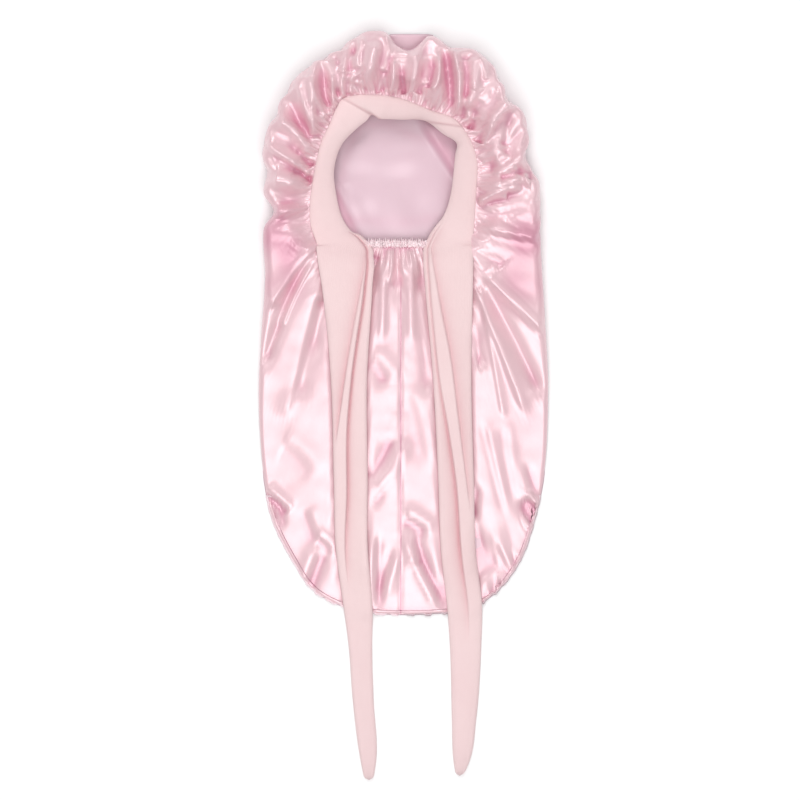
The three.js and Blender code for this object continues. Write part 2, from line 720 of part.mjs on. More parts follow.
// A closed tube from rings of points, each ring round the same way, with flat ends.
function tubeSolid(rings) {
  const sides = rings[0].length;
  const index = [];
  for (let k = 0; k < rings.length - 1; k += 1) {
    for (let s = 0; s < sides; s += 1) {
      const a = k * sides + s;
      const b = k * sides + ((s + 1) % sides);
      index.push(a, b, b + sides, a, b + sides, a + sides);
    }
  }
  const last = (rings.length - 1) * sides;
  for (let s = 1; s < sides - 1; s += 1) {
    index.push(0, s + 1, s, last, last + s, last + s + 1);
  }
  return solidFrom(rings.flat(), index);
}

// The frilled elastic casing across the nape, between the band's ends.
function makeCasing() {
  const half = NAPE_WIDTH / 2 - CASING_INSET;
  const middle = OPENING_CENTRE.y - NAPE_DROP + CASING_DEPTH / 2 + GAP;
  const height = SEAT_HEIGHT * seatHeight(shareAlong(middle)) - SATIN_WALL / 2;
  const flat = Math.cos(Math.PI / CASING_SIDES);
  const rings = Array.from({ length: CASING_STATIONS + 1 }, (_, k) => {
    const share = k / CASING_STATIONS;
    const x = OPENING_CENTRE.x + mix(-half, half, share);
    const ruffle = Math.sin(2 * Math.PI * CASING_RUFFLES * share);
    return Array.from({ length: CASING_SIDES }, (_, s) => {
      const angle = (2 * Math.PI * (s + 0.5)) / CASING_SIDES;
      const frill = Math.cos(angle) > 0 ? ruffle : 0;
      const reach = (Math.cos(angle) / flat) * (CASING_DEPTH / 2);
      const y = middle + reach * (1 + 0.14 * frill);
      const z = height + Math.sin(angle) * (CASING_THICKNESS / 2) * (1 + 0.2 * ruffle);
      return new THREE.Vector3(x, y, z);
    });
  });
  return makeMesh("nape_elastic", tubeSolid(rings), COLOURS.satin, 0.45);
}

// The overlocked seam: a thin wavy roll outside the lower edge of both panels.
function makeSeam() {
  const limit = BAG_LENGTH * (1 - SEAM_FROM);
  const start = outline.findIndex((p, i) => p.y < limit && outline.at(i - 1).y >= limit);
  const count = outline.filter((p) => p.y < limit).length;
  const step = Math.round((SEAM_STEP * outline.length) / loopLength(outline));
  const rings = [];
  for (let k = 0; k < count; k += step) {
    const i = (start + k) % outline.length;
    const here = outline[i];
    const next = outline[(i + 1) % outline.length];
    const before = outline.at(i - 1);
    const along = next.clone().sub(before).normalize();
    const outwards = new THREE.Vector2(-along.y, along.x);
    const wave = SEAM_WAVE * Math.sin((Math.PI / 2) * rings.length + 0.6);
    const offset = BACK_MARGIN + GAP + SEAM_WAVE + SEAM_WIDTH / 2 + wave;
    const centre = here.clone().addScaledVector(outwards, offset);
    rings.push(
      Array.from({ length: SEAM_SIDES }, (_, s) => {
        const angle = (2 * Math.PI * s) / SEAM_SIDES;
        const side = (Math.cos(angle) * SEAM_WIDTH) / 2;
        const point = centre.clone().addScaledVector(outwards, side);
        const z = GAP + (SEAM_THICKNESS / 2) * (1 + Math.sin(angle));
        return lifted(point, z);
      }),
    );
  }
  return makeMesh("edge_seam", tubeSolid(rings), COLOURS.satin, 0.5);
}

function loopLength(loop) {
  return loop.reduce((sum, p, i) => sum + p.distanceTo(loop[(i + 1) % loop.length]), 0);
}

// The whole bonnet, centred over the origin and standing on the floor.
function makeBonnet() {
  const whole = new THREE.Group();
  const grid = frontGrid();
  const surface = surfaceOf(grid);
  const places = bandPlaces();
  const leftEnd = { inner: places[0][0], outer: places[0].at(-1) };
  const rightEnd = { inner: places.at(-1)[0], outer: places.at(-1).at(-1) };
  whole.add(makeBack());
  whole.add(makeFront(grid));
  whole.add(makeBand(places, surface));
  whole.add(makeTie("tie_left", TIE_LEFT, TIE_LENGTH_LEFT, -1, leftEnd, surface));
  whole.add(makeTie("tie_right", TIE_RIGHT, TIE_LENGTH_RIGHT, 1, rightEnd, surface));
  whole.add(makeCasing());
  whole.add(makeSeam());
  const box = new THREE.Box3().setFromObject(whole);
  const middle = box.getCenter(new THREE.Vector3());
  whole.position.set(-middle.x, -middle.y, -box.min.z);
  return whole;
}

const bonnet = makeBonnet();
export default bonnet;
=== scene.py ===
"""The looks of the satin bonnet: gathered satin bag, knit band with ties, frilled nape."""
import bmesh
import bpy
import numpy as np
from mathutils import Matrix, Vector


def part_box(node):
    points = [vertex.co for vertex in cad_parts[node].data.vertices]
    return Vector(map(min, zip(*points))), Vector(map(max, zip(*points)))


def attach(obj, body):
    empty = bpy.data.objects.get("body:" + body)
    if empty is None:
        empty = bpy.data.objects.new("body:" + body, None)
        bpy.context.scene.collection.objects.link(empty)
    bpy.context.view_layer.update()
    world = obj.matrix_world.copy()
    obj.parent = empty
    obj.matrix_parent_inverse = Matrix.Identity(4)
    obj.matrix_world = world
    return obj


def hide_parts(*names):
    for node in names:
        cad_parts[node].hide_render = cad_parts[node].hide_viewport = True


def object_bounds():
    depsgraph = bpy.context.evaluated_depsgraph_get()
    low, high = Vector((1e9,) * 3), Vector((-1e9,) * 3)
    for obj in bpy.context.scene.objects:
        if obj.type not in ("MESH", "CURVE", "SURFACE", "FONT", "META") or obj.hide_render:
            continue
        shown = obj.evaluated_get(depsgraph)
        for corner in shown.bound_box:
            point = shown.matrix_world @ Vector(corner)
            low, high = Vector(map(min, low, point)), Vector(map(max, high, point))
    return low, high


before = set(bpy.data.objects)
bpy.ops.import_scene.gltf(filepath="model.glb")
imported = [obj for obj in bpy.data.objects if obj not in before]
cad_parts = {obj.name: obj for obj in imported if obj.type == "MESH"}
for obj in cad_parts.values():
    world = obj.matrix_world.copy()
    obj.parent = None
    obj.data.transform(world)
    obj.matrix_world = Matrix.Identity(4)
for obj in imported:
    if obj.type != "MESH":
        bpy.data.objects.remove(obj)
cad_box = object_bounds()

# Sizes in metres
BAG_LENGTH = 0.675
HALF_WIDTH = 0.167
CROWN_HEIGHT = 0.044
SEAT_HEIGHT = 0.028
HEM_ROLL = 0.0105
SLANT_PROBE = 0.04
LEAST_SLANT = 0.55
HEM_TUCK = 50.0
LOW_ROLL = 0.005
LOW_SINK = 0.55
LOW_REACH = 0.075
# Where the roll, its tuck and the sinking change: share along, and over what share.
ROLL_CHANGE = (0.45, 0.3)
TUCK_CHANGE = (0.55, 0.25)
LOW_CHANGE = (0.5, 0.3)
OPENING_WIDTH = 0.138
OPENING_LENGTH = 0.140
OPENING_DROP = 0.168
OPENING_SHIFT = -0.009
BAND_WIDTH = 0.025
BAND_LAP = 0.006
BAND_DIP = 0.004
KNIT_THICKNESS = 0.0022
TIE_THICKNESS = 0.0062
LEAST_THICKNESS = 0.0002
BAND_BULGE = 0.0016
TIE_BLEND = 0.06
TIP_ROUND = 0.006
STRIP_REST = 0.0004
EDGE_CROWD = 0.06
GROOVE_MOST = 0.8
UNDER_ROUND = 0.25
NAPE_WIDTH = 0.070
NAPE_DROP = 0.079
NAPE_RISE = 0.0065
SWELL_REACH = 0.026
TIE_LENGTH = {"left": 0.616, "right": 0.611}
TIE_WIDTH = 0.042
FOLD_WIDTH = 0.020
FOLD_HEIGHT = 0.010
FLOOR_GAP = 0.0016

# Places come from the frame: the crown's top is the front panel's highest Y.
CROWN_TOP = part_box("front_panel")[1][1]
CENTRE = np.array([OPENING_SHIFT, CROWN_TOP - OPENING_DROP])

# The bag's outline, clockwise from the foot of the centre seam.
# Columns: across, a share of half its width; along, a share of its length from the top.
OUTLINE = np.array([
    (-0.02, 0.994), (-0.22, 0.991), (-0.43, 0.979), (-0.63, 0.951), (-0.74, 0.912),
    (-0.9, 0.835), (-0.965, 0.76), (-1.0, 0.63), (-0.985, 0.53), (-0.955, 0.42),
    (-0.96, 0.335), (-0.9, 0.306), (-0.96, 0.274), (-0.943, 0.243), (-0.965, 0.208),
    (-0.925, 0.165), (-0.83, 0.12), (-0.75, 0.086), (-0.62, 0.058), (-0.45, 0.032),
    (-0.3, 0.007), (-0.21, 0.001), (-0.125, 0.004), (-0.05, 0.022), (0.04, 0.03), (0.11, 0.021),
    (0.18, 0.009), (0.26, 0.017), (0.327, 0.026), (0.467, 0.033), (0.54, 0.043), (0.61, 0.062),
    (0.72, 0.112), (0.82, 0.142), (0.855, 0.175), (0.853, 0.216), (0.895, 0.24), (0.93, 0.257),
    (0.94, 0.29), (0.945, 0.36), (0.98, 0.5),
    (1.0, 0.61), (0.975, 0.75), (0.91, 0.828), (0.81, 0.9), (0.645, 0.955),
    (0.45, 0.985), (0.24, 0.992),
])

# Height of the puffed front. Columns: along, share of CROWN_HEIGHT.
PUFF = np.array([
    (0.0, 0.8), (0.07, 1.05), (0.2, 0.88), (0.36, 0.62), (0.55, 0.4), (0.75, 0.27), (1.0, 0.22),
])

# Height of the front's inner edge under the band. Columns: along, share of SEAT_HEIGHT.
SEAT = np.array([
    (0.05, 1.0), (0.14, 1.0), (0.25, 0.8), (0.34, 0.58), (0.37, 0.52), (0.6, 0.52),
])

# The band. Columns: turn of the inner point in degrees from the brow, its share of the
# opening's radius, turn of the outer point, share of BAND_WIDTH beyond the opening.
BAND = np.array([
    (-153, 1.12, -131, 2.0), (-140, 1.14, -119, 1.7), (-126, 1.1, -109, 1.4),
    (-101, 1.02, -98, 1.13), (-81, 1.03, -82, 0.95), (-58, 1.04, -64, 1.0),
    (-38, 1.025, -50, 1.12), (-27, 1.045, -41, 1.36), (-21.5, 1.09, -35, 1.52),
    (-16, 0.99, -25, 1.33), (-9, 0.96, -14, 1.06), (4, 0.943, 0, 0.84),
    (30, 1.045, 29, 0.66), (47, 1.056, 44, 0.97), (62, 1.15, 58, 1.05), (68, 1.07, 66, 1.06),
    (80, 0.985, 78, 1.04), (104, 0.95, 97, 0.98), (129, 1.01, 120, 1.4),
    (151, 1.11, 131, 1.95),
])

# Ties. Columns: share of the tie's length from the nape, inner edge as a share of half the
# nape's width, share of TIE_WIDTH.
TIE = {
    "left": np.array([
        (0.0, 0.80, 1.50), (0.02, 0.72, 1.54), (0.076, 0.76, 1.38), (0.25, 0.94, 0.99), (0.44, 0.92, 0.93),
        (0.56, 0.92, 0.88), (0.68, 0.76, 0.79), (0.75, 0.78, 0.64), (0.85, 0.73, 0.57),
        (0.96, 0.64, 0.44), (1.0, 0.74, 0.24),
    ]),
    "right": np.array([
        (0.0, 0.93, 1.35), (0.02, 0.905, 1.37), (0.076, 0.97, 1.3), (0.25, 1.23, 1.05), (0.44, 1.4, 0.98),
        (0.58, 1.5, 0.96), (0.68, 1.7, 0.96), (0.76, 1.8, 0.85), (0.89, 1.86, 0.67),
        (0.975, 1.92, 0.42), (1.0, 1.99, 0.2),
    ]),
}

# Edges where the band folds over itself. Columns: x, y of one end; x, y of the other, with
# the upper layer on the left hand; the step's height.
BAND_STEPS = np.array([
    (-0.0696, 0.3525, -0.0362, 0.3341, 0.0022),
    (0.0282, 0.3260, 0.0670, 0.3200, 0.0014),
])
STEP_EDGE = 0.0014
STEP_FADE = 0.022
# Share of painted shade along each fold-over edge.
STEP_SHADE = 0.4
STEP_OVERRUN = 0.5
STEP_END = 0.3

# Lengthwise pleats of the ties. Columns: share of the tie's length, where the pleat's edge
# lies across it (0 outer edge, 1 inner edge), share of GROOVE_DEPTH, how far the groove
# reaches to the outer side, or below zero to the inner side.
GROOVE_DEPTH = 0.0052
GROOVE_EDGE = 0.028
PLEAT_LIFT = 0.0022
GROOVES = {
    "left": [
        np.array([(0.0, 0.86, 0.3, 0.08), (0.03, 0.83, 0.5, 0.10), (0.156, 0.59, 0.55, 0.13),
                  (0.287, 0.27, 0.7, 0.15), (0.345, 0.12, 0.5, 0.12), (0.37, 0.06, 0.0, 0.1)]),
        np.array([(0.0, 0.9, 1.0, -0.02), (0.1, 0.835, 1.0, -0.025), (0.175, 0.72, 1.0, -0.03),
                  (0.25, 0.585, 1.0, -0.04), (0.343, 0.44, 1.0, -0.08), (0.474, 0.40, 0.9, -0.10),
                  (0.586, 0.30, 0.5, -0.13), (0.64, 0.28, 0.0, -0.14)]),
    ],
    "right": [
        np.array([(0.0, 0.92, 0.5, -0.02), (0.133, 0.91, 0.5, -0.025), (0.254, 0.85, 0.6, -0.04),
                  (0.346, 0.68, 0.9, -0.07), (0.466, 0.50, 1.0, -0.12), (0.562, 0.45, 1.0, -0.14),
                  (0.666, 0.43, 0.5, -0.16), (0.75, 0.42, 0.0, -0.16)]),
        np.array([(0.0, 0.83, 0.4, 0.08), (0.124, 0.66, 0.6, 0.12), (0.205, 0.507, 0.6, 0.15),
                  (0.325, 0.35, 0.6, 0.16), (0.461, 0.164, 0.4, 0.12), (0.5, 0.1, 0.0, 0.1)]),
    ],
}

# Ridges and grooves of the front, each through three places. Columns: across and along of
# the first, middle and last place; share of FOLD_WIDTH; share of FOLD_HEIGHT, below zero for
# a groove.
CROWN_FOLDS = np.array([
    (-0.19, 0.022, -0.217, 0.065, -0.244, 0.102, 0.9, 1.0),
    (-0.1, 0.02, -0.12, 0.07, -0.142, 0.112, 0.5, -0.8),
    (-0.235, 0.062, -0.2, 0.085, -0.16, 0.108, 0.4, -0.5),
    (-0.389, 0.039, -0.41, 0.083, -0.423, 0.123, 0.3, 0.5),
    (-0.34, 0.035, -0.355, 0.08, -0.36, 0.11, 0.3, 0.4),
    (-0.266, 0.012, -0.31, 0.04, -0.31, 0.07, 0.3, 0.5),
    (-0.30, 0.012, -0.345, 0.045, -0.36, 0.085, 0.35, -0.6),
    (-0.45, 0.03, -0.46, 0.06, -0.45, 0.12, 0.4, -0.5),
    (-0.126, 0.005, -0.105, 0.035, -0.143, 0.075, 0.3, 0.5),
    (-0.82, 0.11, -0.74, 0.14, -0.61, 0.188, 0.6, -0.7),
    (-0.58, 0.049, -0.602, 0.102, -0.52, 0.153, 0.35, 0.7),
    (-0.533, 0.051, -0.54, 0.099, -0.516, 0.15, 0.5, -1.1),
    (-0.49, 0.077, -0.478, 0.114, -0.492, 0.148, 0.3, 0.6),
    (-0.643, 0.078, -0.616, 0.131, -0.609, 0.181, 0.35, 0.6),
    (-0.733, 0.083, -0.664, 0.14, -0.616, 0.181, 0.35, 0.6),
    (-0.69, 0.075, -0.64, 0.11, -0.63, 0.13, 0.5, 0.3),
    (-0.78, 0.133, -0.712, 0.164, -0.63, 0.201, 0.45, -0.8),
    (-0.878, 0.157, -0.726, 0.177, -0.63, 0.215, 0.8, 0.9),
    (-0.83, 0.184, -0.712, 0.211, -0.623, 0.233, 0.4, -0.9),
    (-0.953, 0.194, -0.809, 0.218, -0.63, 0.244, 0.35, 0.7),
    (-0.85, 0.227, -0.712, 0.242, -0.616, 0.257, 0.4, -0.9),
    (-0.905, 0.256, -0.781, 0.261, -0.637, 0.269, 0.9, 0.9),
    (-0.933, 0.29, -0.781, 0.288, -0.637, 0.286, 0.6, -0.7),
    (-0.905, 0.31, -0.781, 0.308, -0.637, 0.302, 0.45, 0.7),
    (-0.933, 0.329, -0.781, 0.325, -0.637, 0.318, 0.5, -0.4),
    (0.283, 0.029, 0.305, 0.066, 0.318, 0.14, 0.45, -1.1),
    (0.213, 0.044, 0.2, 0.068, 0.165, 0.105, 0.4, -0.9),
    (0.239, 0.04, 0.24, 0.085, 0.185, 0.105, 0.28, 0.8),
    (0.32, 0.03, 0.366, 0.073, 0.3666, 0.149, 0.28, 0.9),
    (0.385, 0.066, 0.396, 0.102, 0.385, 0.153, 0.25, 0.5),
    (0.423, 0.09, 0.41, 0.118, 0.388, 0.152, 0.35, -0.7),
    (0.52, 0.1, 0.49, 0.14, 0.452, 0.17, 0.4, -0.8),
    (0.47, 0.106, 0.5, 0.102, 0.5377, 0.109, 0.35, 0.25),
    (0.48, 0.05, 0.475, 0.08, 0.44, 0.14, 0.8, 0.6),
    (0.58, 0.15, 0.545, 0.175, 0.513, 0.193, 0.4, -0.9),
    (0.747, 0.129, 0.63, 0.153, 0.526, 0.201, 0.6, 1.1),
    (0.608, 0.068, 0.66, 0.095, 0.655, 0.125, 0.4, 0.4),
    (0.50, 0.036, 0.545, 0.065, 0.56, 0.09, 0.25, 0.4),
    (0.42, 0.034, 0.43, 0.07, 0.44, 0.12, 0.5, -0.5),
    (0.82, 0.15, 0.77, 0.18, 0.68, 0.212, 0.4, -0.6),
    (0.58, 0.044, 0.664, 0.082, 0.733, 0.116, 0.4, 0.4),
    (0.74, 0.14, 0.715, 0.165, 0.68, 0.2, 0.3, -0.5),
    (0.66, 0.222, 0.59, 0.231, 0.515, 0.2345, 0.6, -1.1),
    (0.84, 0.206, 0.75, 0.233, 0.6, 0.243, 0.45, 0.5),
    (0.87, 0.218, 0.78, 0.243, 0.65, 0.2535, 0.35, -0.5),
    (0.82, 0.248, 0.68, 0.26, 0.52, 0.268, 0.6, 0.9),
    (0.859, 0.226, 0.866, 0.243, 0.858, 0.254, 0.4, -0.8),
    (0.83, 0.24, 0.84, 0.257, 0.868, 0.262, 0.22, 0.5),
    (0.82, 0.268, 0.64, 0.277, 0.503, 0.294, 0.3, 0.7),
    (0.88, 0.278, 0.66, 0.287, 0.51, 0.303, 0.45, -0.5),
    (0.513, 0.298, 0.609, 0.285, 0.719, 0.283, 0.35, 0.6),
    (0.87, 0.3, 0.664, 0.308, 0.5, 0.317, 0.5, -0.5),
    (0.5, 0.334, 0.664, 0.341, 0.926, 0.354, 0.5, 0.5),
    (0.059, 0.039, 0.086, 0.065, 0.059, 0.095, 0.5, 0.7),
    (0.141, 0.048, 0.127, 0.082, 0.093, 0.111, 0.3, -0.7),
    (-0.038, 0.048, -0.01, 0.082, 0.003, 0.111, 0.3, -0.8),
    (-0.079, 0.051, -0.072, 0.082, -0.093, 0.109, 0.35, 0.6),
])
BAG_FOLDS = np.array([
    (-0.58, 0.352, -0.747, 0.41, -0.93, 0.47, 0.7, 0.7),
    (-0.609, 0.363, -0.747, 0.426, -0.985, 0.582, 0.55, -1.0),
    (-0.595, 0.385, -0.73, 0.44, -0.84, 0.504, 0.3, 0.5),
    (-0.554, 0.441, -0.64, 0.53, -0.726, 0.628, 0.9, -0.5),
    (-0.565, 0.41, -0.7, 0.54, -0.82, 0.66, 0.9, 0.4),
    (0.5, 0.385, 0.62, 0.39, 0.68, 0.4, 0.5, -0.5),
    (0.54, 0.41, 0.726, 0.455, 0.974, 0.511, 0.7, 0.9),
    (0.506, 0.428, 0.678, 0.486, 0.96, 0.625, 0.6, -1.0),
    (0.506, 0.441, 0.595, 0.494, 0.857, 0.659, 0.55, 0.7),
    (0.485, 0.458, 0.506, 0.52, 0.53, 0.57, 0.45, -0.6),
    (0.54, 0.46, 0.62, 0.56, 0.69, 0.66, 0.3, 0.3),
    (0.13, 0.37, 0.15, 0.5, 0.17, 0.62, 0.7, -0.5),
    (0.525, 0.765, 0.503, 0.79, 0.49, 0.83, 0.3, -0.6),
    (0.485, 0.79, 0.53, 0.885, 0.58, 0.952, 0.6, -1.5),
    (0.60, 0.955, 0.63, 0.95, 0.66, 0.945, 0.4, -0.8),
    (0.80, 0.797, 0.87, 0.816, 0.94, 0.814, 0.4, -1.0),
    (0.052, 0.86, 0.155, 0.922, 0.285, 0.985, 0.3, -0.4),
    (-0.058, 0.75, -0.13, 0.78, -0.21, 0.81, 0.25, -0.3),
    (-0.215, 0.46, -0.2, 0.41, -0.186, 0.372, 0.4, -1.0),
    (-0.062, 0.47, -0.042, 0.41, -0.052, 0.38, 0.5, -1.0),
    (-0.022, 0.368, -0.008, 0.388, -0.012, 0.415, 0.45, 0.8),
    (0.038, 0.37, 0.05, 0.38, 0.06, 0.4, 0.4, 0.6),
    (0.125, 0.47, 0.116, 0.42, 0.134, 0.385, 0.5, -1.0),
    (-0.105, 0.37, -0.075, 0.392, -0.1, 0.43, 0.35, 0.8),
    (-0.15, 0.4, -0.14, 0.45, -0.15, 0.52, 0.5, 0.5),
    (0.06, 0.41, 0.05, 0.46, 0.06, 0.53, 0.6, 0.5),
    (-0.679, 0.588, -0.6, 0.52, -0.556, 0.447, 0.6, -0.6),
])
BAG_SHARE = 0.7
# Soft steps of the lower bag, with the higher cloth on the left of the line. Same columns.
BAG_STEPS = np.array([
    (0.555, 0.66, 0.6255, 0.737, 0.72, 0.83, 0.4, 0.12),
    (0.70, 0.66, 0.735, 0.735, 0.79, 0.80, 0.5, 0.12),
    (0.82, 0.73, 0.89, 0.785, 0.96, 0.815, 0.5, -0.2),
    (0.84, 0.79, 0.91, 0.815, 0.97, 0.825, 0.5, 0.5),
    (0.64, 0.868, 0.70, 0.9, 0.755, 0.925, 0.4, 0.22),
    (0.75, 0.89, 0.79, 0.9, 0.83, 0.91, 0.4, 0.2),
    (-0.96, 0.78, -0.86, 0.8, -0.78, 0.82, 0.45, 0.45),
    (-0.93, 0.80, -0.88, 0.82, -0.85, 0.85, 0.4, -0.3),
    (-0.67, 0.81, -0.63, 0.84, -0.58, 0.87, 0.6, 0.2),
    (-0.60, 0.864, -0.54, 0.87, -0.47, 0.89, 0.4, 0.35),
    (-0.58, 0.88, -0.64, 0.92, -0.70, 0.955, 0.7, -0.4),
    (-0.03, 0.69, -0.12, 0.74, -0.22, 0.775, 0.9, 0.5),
    (-0.05, 0.88, -0.1, 0.92, -0.15, 0.965, 0.5, 0.35),
    (-0.19, 0.85, -0.2, 0.93, -0.19, 0.99, 0.5, -0.4),
    (0.0, 0.825, 0.09, 0.835, 0.19, 0.855, 0.6, 0.4),
    (0.03, 0.85, 0.15, 0.922, 0.28, 0.98, 0.6, -0.5),
    (0.02, 0.915, 0.07, 0.905, 0.12, 0.895, 0.35, 0.25),
    (0.02, 0.61, 0.10, 0.66, 0.16, 0.75, 0.9, 0.2),
    (-0.85, 0.70, -0.72, 0.72, -0.6, 0.76, 0.9, 0.15),
    (-0.23, 0.55, -0.15, 0.57, -0.08, 0.60, 0.8, 0.3),
])
BAG_FOLDS[:, 7] *= BAG_SHARE
BAG_STEPS[:, 7] *= BAG_SHARE
FOLDS = np.concatenate([CROWN_FOLDS, BAG_FOLDS])
BROAD_FOLD = 0.45
RIDGE_FADE = 0.18
RIDGE_CREST = 1.35
VALLEY_FADE = 0.5
VALLEY_CREST = 1.35
VALLEY_WIDE = 1.9
VALLEY_NARROW = 1.25
FOLD_LEAN = 0.4
FOLD_ROUND = 0.0018

# How much longer the cloth is than the surface it lies on, round the opening.
# Columns: turn in degrees from the brow, excess at the band, excess far from it.
EXCESS = np.array([
    (-180, 0.6, 0.0), (-150, 0.5, 0.0), (-130, 0.2, 0.0), (-105, 0.4, 0.005),
    (-80, 0.8, 0.02), (-40, 0.9, 0.03), (0, 0.9, 0.03), (40, 0.8, 0.03),
    (80, 0.7, 0.02), (105, 0.4, 0.005), (130, 0.2, 0.0), (150, 0.5, 0.0), (180, 0.6, 0.0),
])
EXCESS_REACH = 0.035
POUF_SHARE = 0.2
DOWN_SHARE = 0.2
POUF_SEED = 0.0012
POUF_RIPPLES = 14
POUF_REACH = 0.06
POUF_START = 0.02
SPOKE_LEAN = 0.16
GATHER_SEED = 0.0008
PLEAT_COLUMNS = (7.0, 11.0)
PLEAT_REACH = 0.009
PLEAT_SHARE = 0.28
TUFT_SEED = 0.0014
TUFT_COLUMNS = 17
TUFT_REACH = 0.018
RUMPLE_HEIGHT = 0.00012
RUMPLE_SIZE = 0.03
CREASE_SHARE = 0.003

# The dent under each tie: its depth, its edge across the tie and its start along it.
TIE_DENT = 0.0025
DENT_EDGE = (1.25, -0.4)
DENT_START = 0.05

# The centre seam: its place, its groove and the puckers beside it.
SEAM_X = -0.0030
SEAM_START = 0.012
SEAM_FADE = 0.03
SEAM_GROOVE = 0.0012
SEAM_GROOVE_REACH = 0.0028
PUCKER = 0.0006
PUCKER_PERIOD = 0.017
PUCKER_START = 0.003
PUCKER_REACH = 0.009

# The back's crown edge, which shows past the front: from and to, shares across, and how far
# it reaches, a share of the bag's length.
BACK_TOP = (-0.1, 0.2, 0.03)
TOP_OVERRUN = 0.06
TOP_FADE = 0.08
TOP_TURN = 60
BACK_CURL = 0.005
CURL_REACH = 0.022
BACK_RUMPLE = 0.0006
SEAM_SIDE = (0.7, 0.06)
BACK_SHORT = 0.001
BACK_LIFT = 0.0002
BACK_INSET = 0.004
SEAM_MARGIN = 0.001
SATIN_THICKNESS = 0.0012

# Low swells of the back's inside. Columns: from x, y; to x, y; width; height.
SWELLS = np.array([
    (-0.066, 0.250, -0.034, 0.190, 0.009, 0.0016), (-0.050, 0.300, -0.010, 0.225, 0.022, 0.0016),
    (-0.020, 0.330, 0.010, 0.300, 0.032, 0.0009),
])

# Lines past which the back's inside climbs towards the band. Columns: x, y of one end; x, y
# of the other, with the climb on the right hand; its height.
RISES = np.array([
    (0.057, 0.258, 0.019, 0.316, 0.006),
    (-0.071, 0.250, -0.040, 0.186, 0.005),
])
RISE_OVERRUN = 0.3
RISE_END = 0.4
RISE_WIDTH = 0.012
RISE_FAR = (0.05, -0.02)
# Painted shade on the inside: a deeper pink past each rise and along the band's edge, where the band shades
# it.
RISE_SHADE = 0.7
RISE_SHADE_WIDTH = 0.008
RIM_SHADE = 0.35
RIM_SHADE_EDGE = (0.012, -0.02)

# The nape's casing and its pleats
CASING_DEPTH = 0.011
CASING_THICKNESS = 0.005
FRILL_PAST = 0.006
FRILL_REST = 0.27
FRILL_SHARE = 0.68
FRILL_PLEAT = 0.24
FRILL_EDGE = 0.35
FRILL_EDGE_PLEAT = 0.8
FRILL_SWELL = 0.3
FRILL_WAVE = 0.0008
FRILL_TUFT = 0.0007

# The stitched lines and the overlocked seam
LINE_WIDTH = 0.0009
LINE_STRIP = (0.008, -0.002)
HEM_LINE_FROM = (0.78, 0.05)
STITCH = 0.0026
STITCH_SHARE = 0.10
LINE_REACH = 0.0006
HEM_LINE = 0.0042
SEAM_FROM = 0.79
SEAM_WIDTH = 0.0028
SEAM_THICKNESS = 0.0022
SEAM_HEIGHT = 0.0024
SEAM_WAVE = 0.0006
SEAM_WAVES = (0.017, 0.0075)
SEAM_RIPPLE = 0.0005
SEAM_TIGHT = (0.93, 0.04)

# Fineness
STRIP_STATIONS = 760
STRIP_TOP = 65
FRILL_STATIONS = 260
FRILL_SIDES = 28
SEAM_STATIONS = 900
SEAM_SIDES = 10
BACK_RINGS = 60
COARSE_COLUMNS = 240
COARSE_ROWS = 48
COARSE_LAP_ROWS = 3
ROLL_ROWS = 12
COLUMNS = 840
ROWS = 95
LAP_ROWS = 5
COARSE_STEPS = 220
FINE_STEPS = 120
COARSE_FADE_ROWS = 6
FINE_FADE_ROWS = 12
MAP_STEP = 0.003
MAP_MARGIN = 0.02

# How stiff the cloth is, and how firmly it is held to its first shape
BEND = 0.10
COARSE_HOLD = 0.004
FINE_HOLD = 0.01

# Painted shade: a deeper pink painted into the valleys, where shade falls, and over the
# sagging sides, in place of the shade their slope would give. Each pair: where it starts, and
# over what share it rises, or falls if below zero.
VALLEY_DEPTH = 0.0038
VALLEY_BLUR = 34
SIDE_SHADE = 0.9
SIDE_CHANGE = 0.25
SIDE_ACROSS = (0.55, 0.25)
SIDE_TOP = (0.27, 0.08)
SIDE_FOOT = (0.5, -0.12)

# Finishes. Each cloth's colour runs on a ramp from its light pink to its deeper one. For the
# satin, the inside and the knit the deeper pink is where painted shade runs to; slow random
# tone pulls a little towards it too, and the satin's also colours its stitched seam lines.
SATIN_IOR = 1.9
SATIN_COAT = 0.4
SATIN_PINK = (0.835, 0.58, 0.62)
SHADE_AND_SEAM_PINK = (0.64, 0.25, 0.36)
INSIDE_PINK = (0.73, 0.52, 0.59)
INSIDE_SHADE_PINK = (0.70, 0.33, 0.44)
FRILL_PINK = (0.95, 0.78, 0.81)
KNIT_PINK = (0.87, 0.67, 0.675)
KNIT_SHADE_PINK = (0.66, 0.36, 0.39)
THREAD_PINK = (0.95, 0.78, 0.82)
THREAD_DEEP = (0.84, 0.50, 0.60)

# The studio. Soft lights: place, side in metres, power in watts.
SOFTBOXES = (
    ((0.0, -1.15, 3.0), 2.4, 58),
    ((-1.7, 0.9, 1.9), 0.9, 4),
    ((1.7, 0.7, 1.9), 0.9, 4),
    ((-0.4, 2.2, 2.3), 1.3, 26),
)
WORLD_STRENGTH = 0.42
FLOOR_SIZE = 6
FLOOR_WHITE = (0.96, 0.96, 0.96)
CAMERA_PLACE = (-0.004, 0.0075, 2.5)
SENSOR_WIDTH = 36
VIEW_WIDTH = 0.92
VIEW_HEIGHT = 0.015


def smooth(t):
    """A smooth step: 3t^2 - 2t^3 of t held between 0 and 1."""
    c = np.clip(t, 0.0, 1.0)
    return c * c * (3 - 2 * c)


def ramp(value, start, length):
    """A smooth rise from 0 at start to 1 a length past it, or before it if length is below
    zero, which makes a fall."""
    return smooth((value - start) / length)


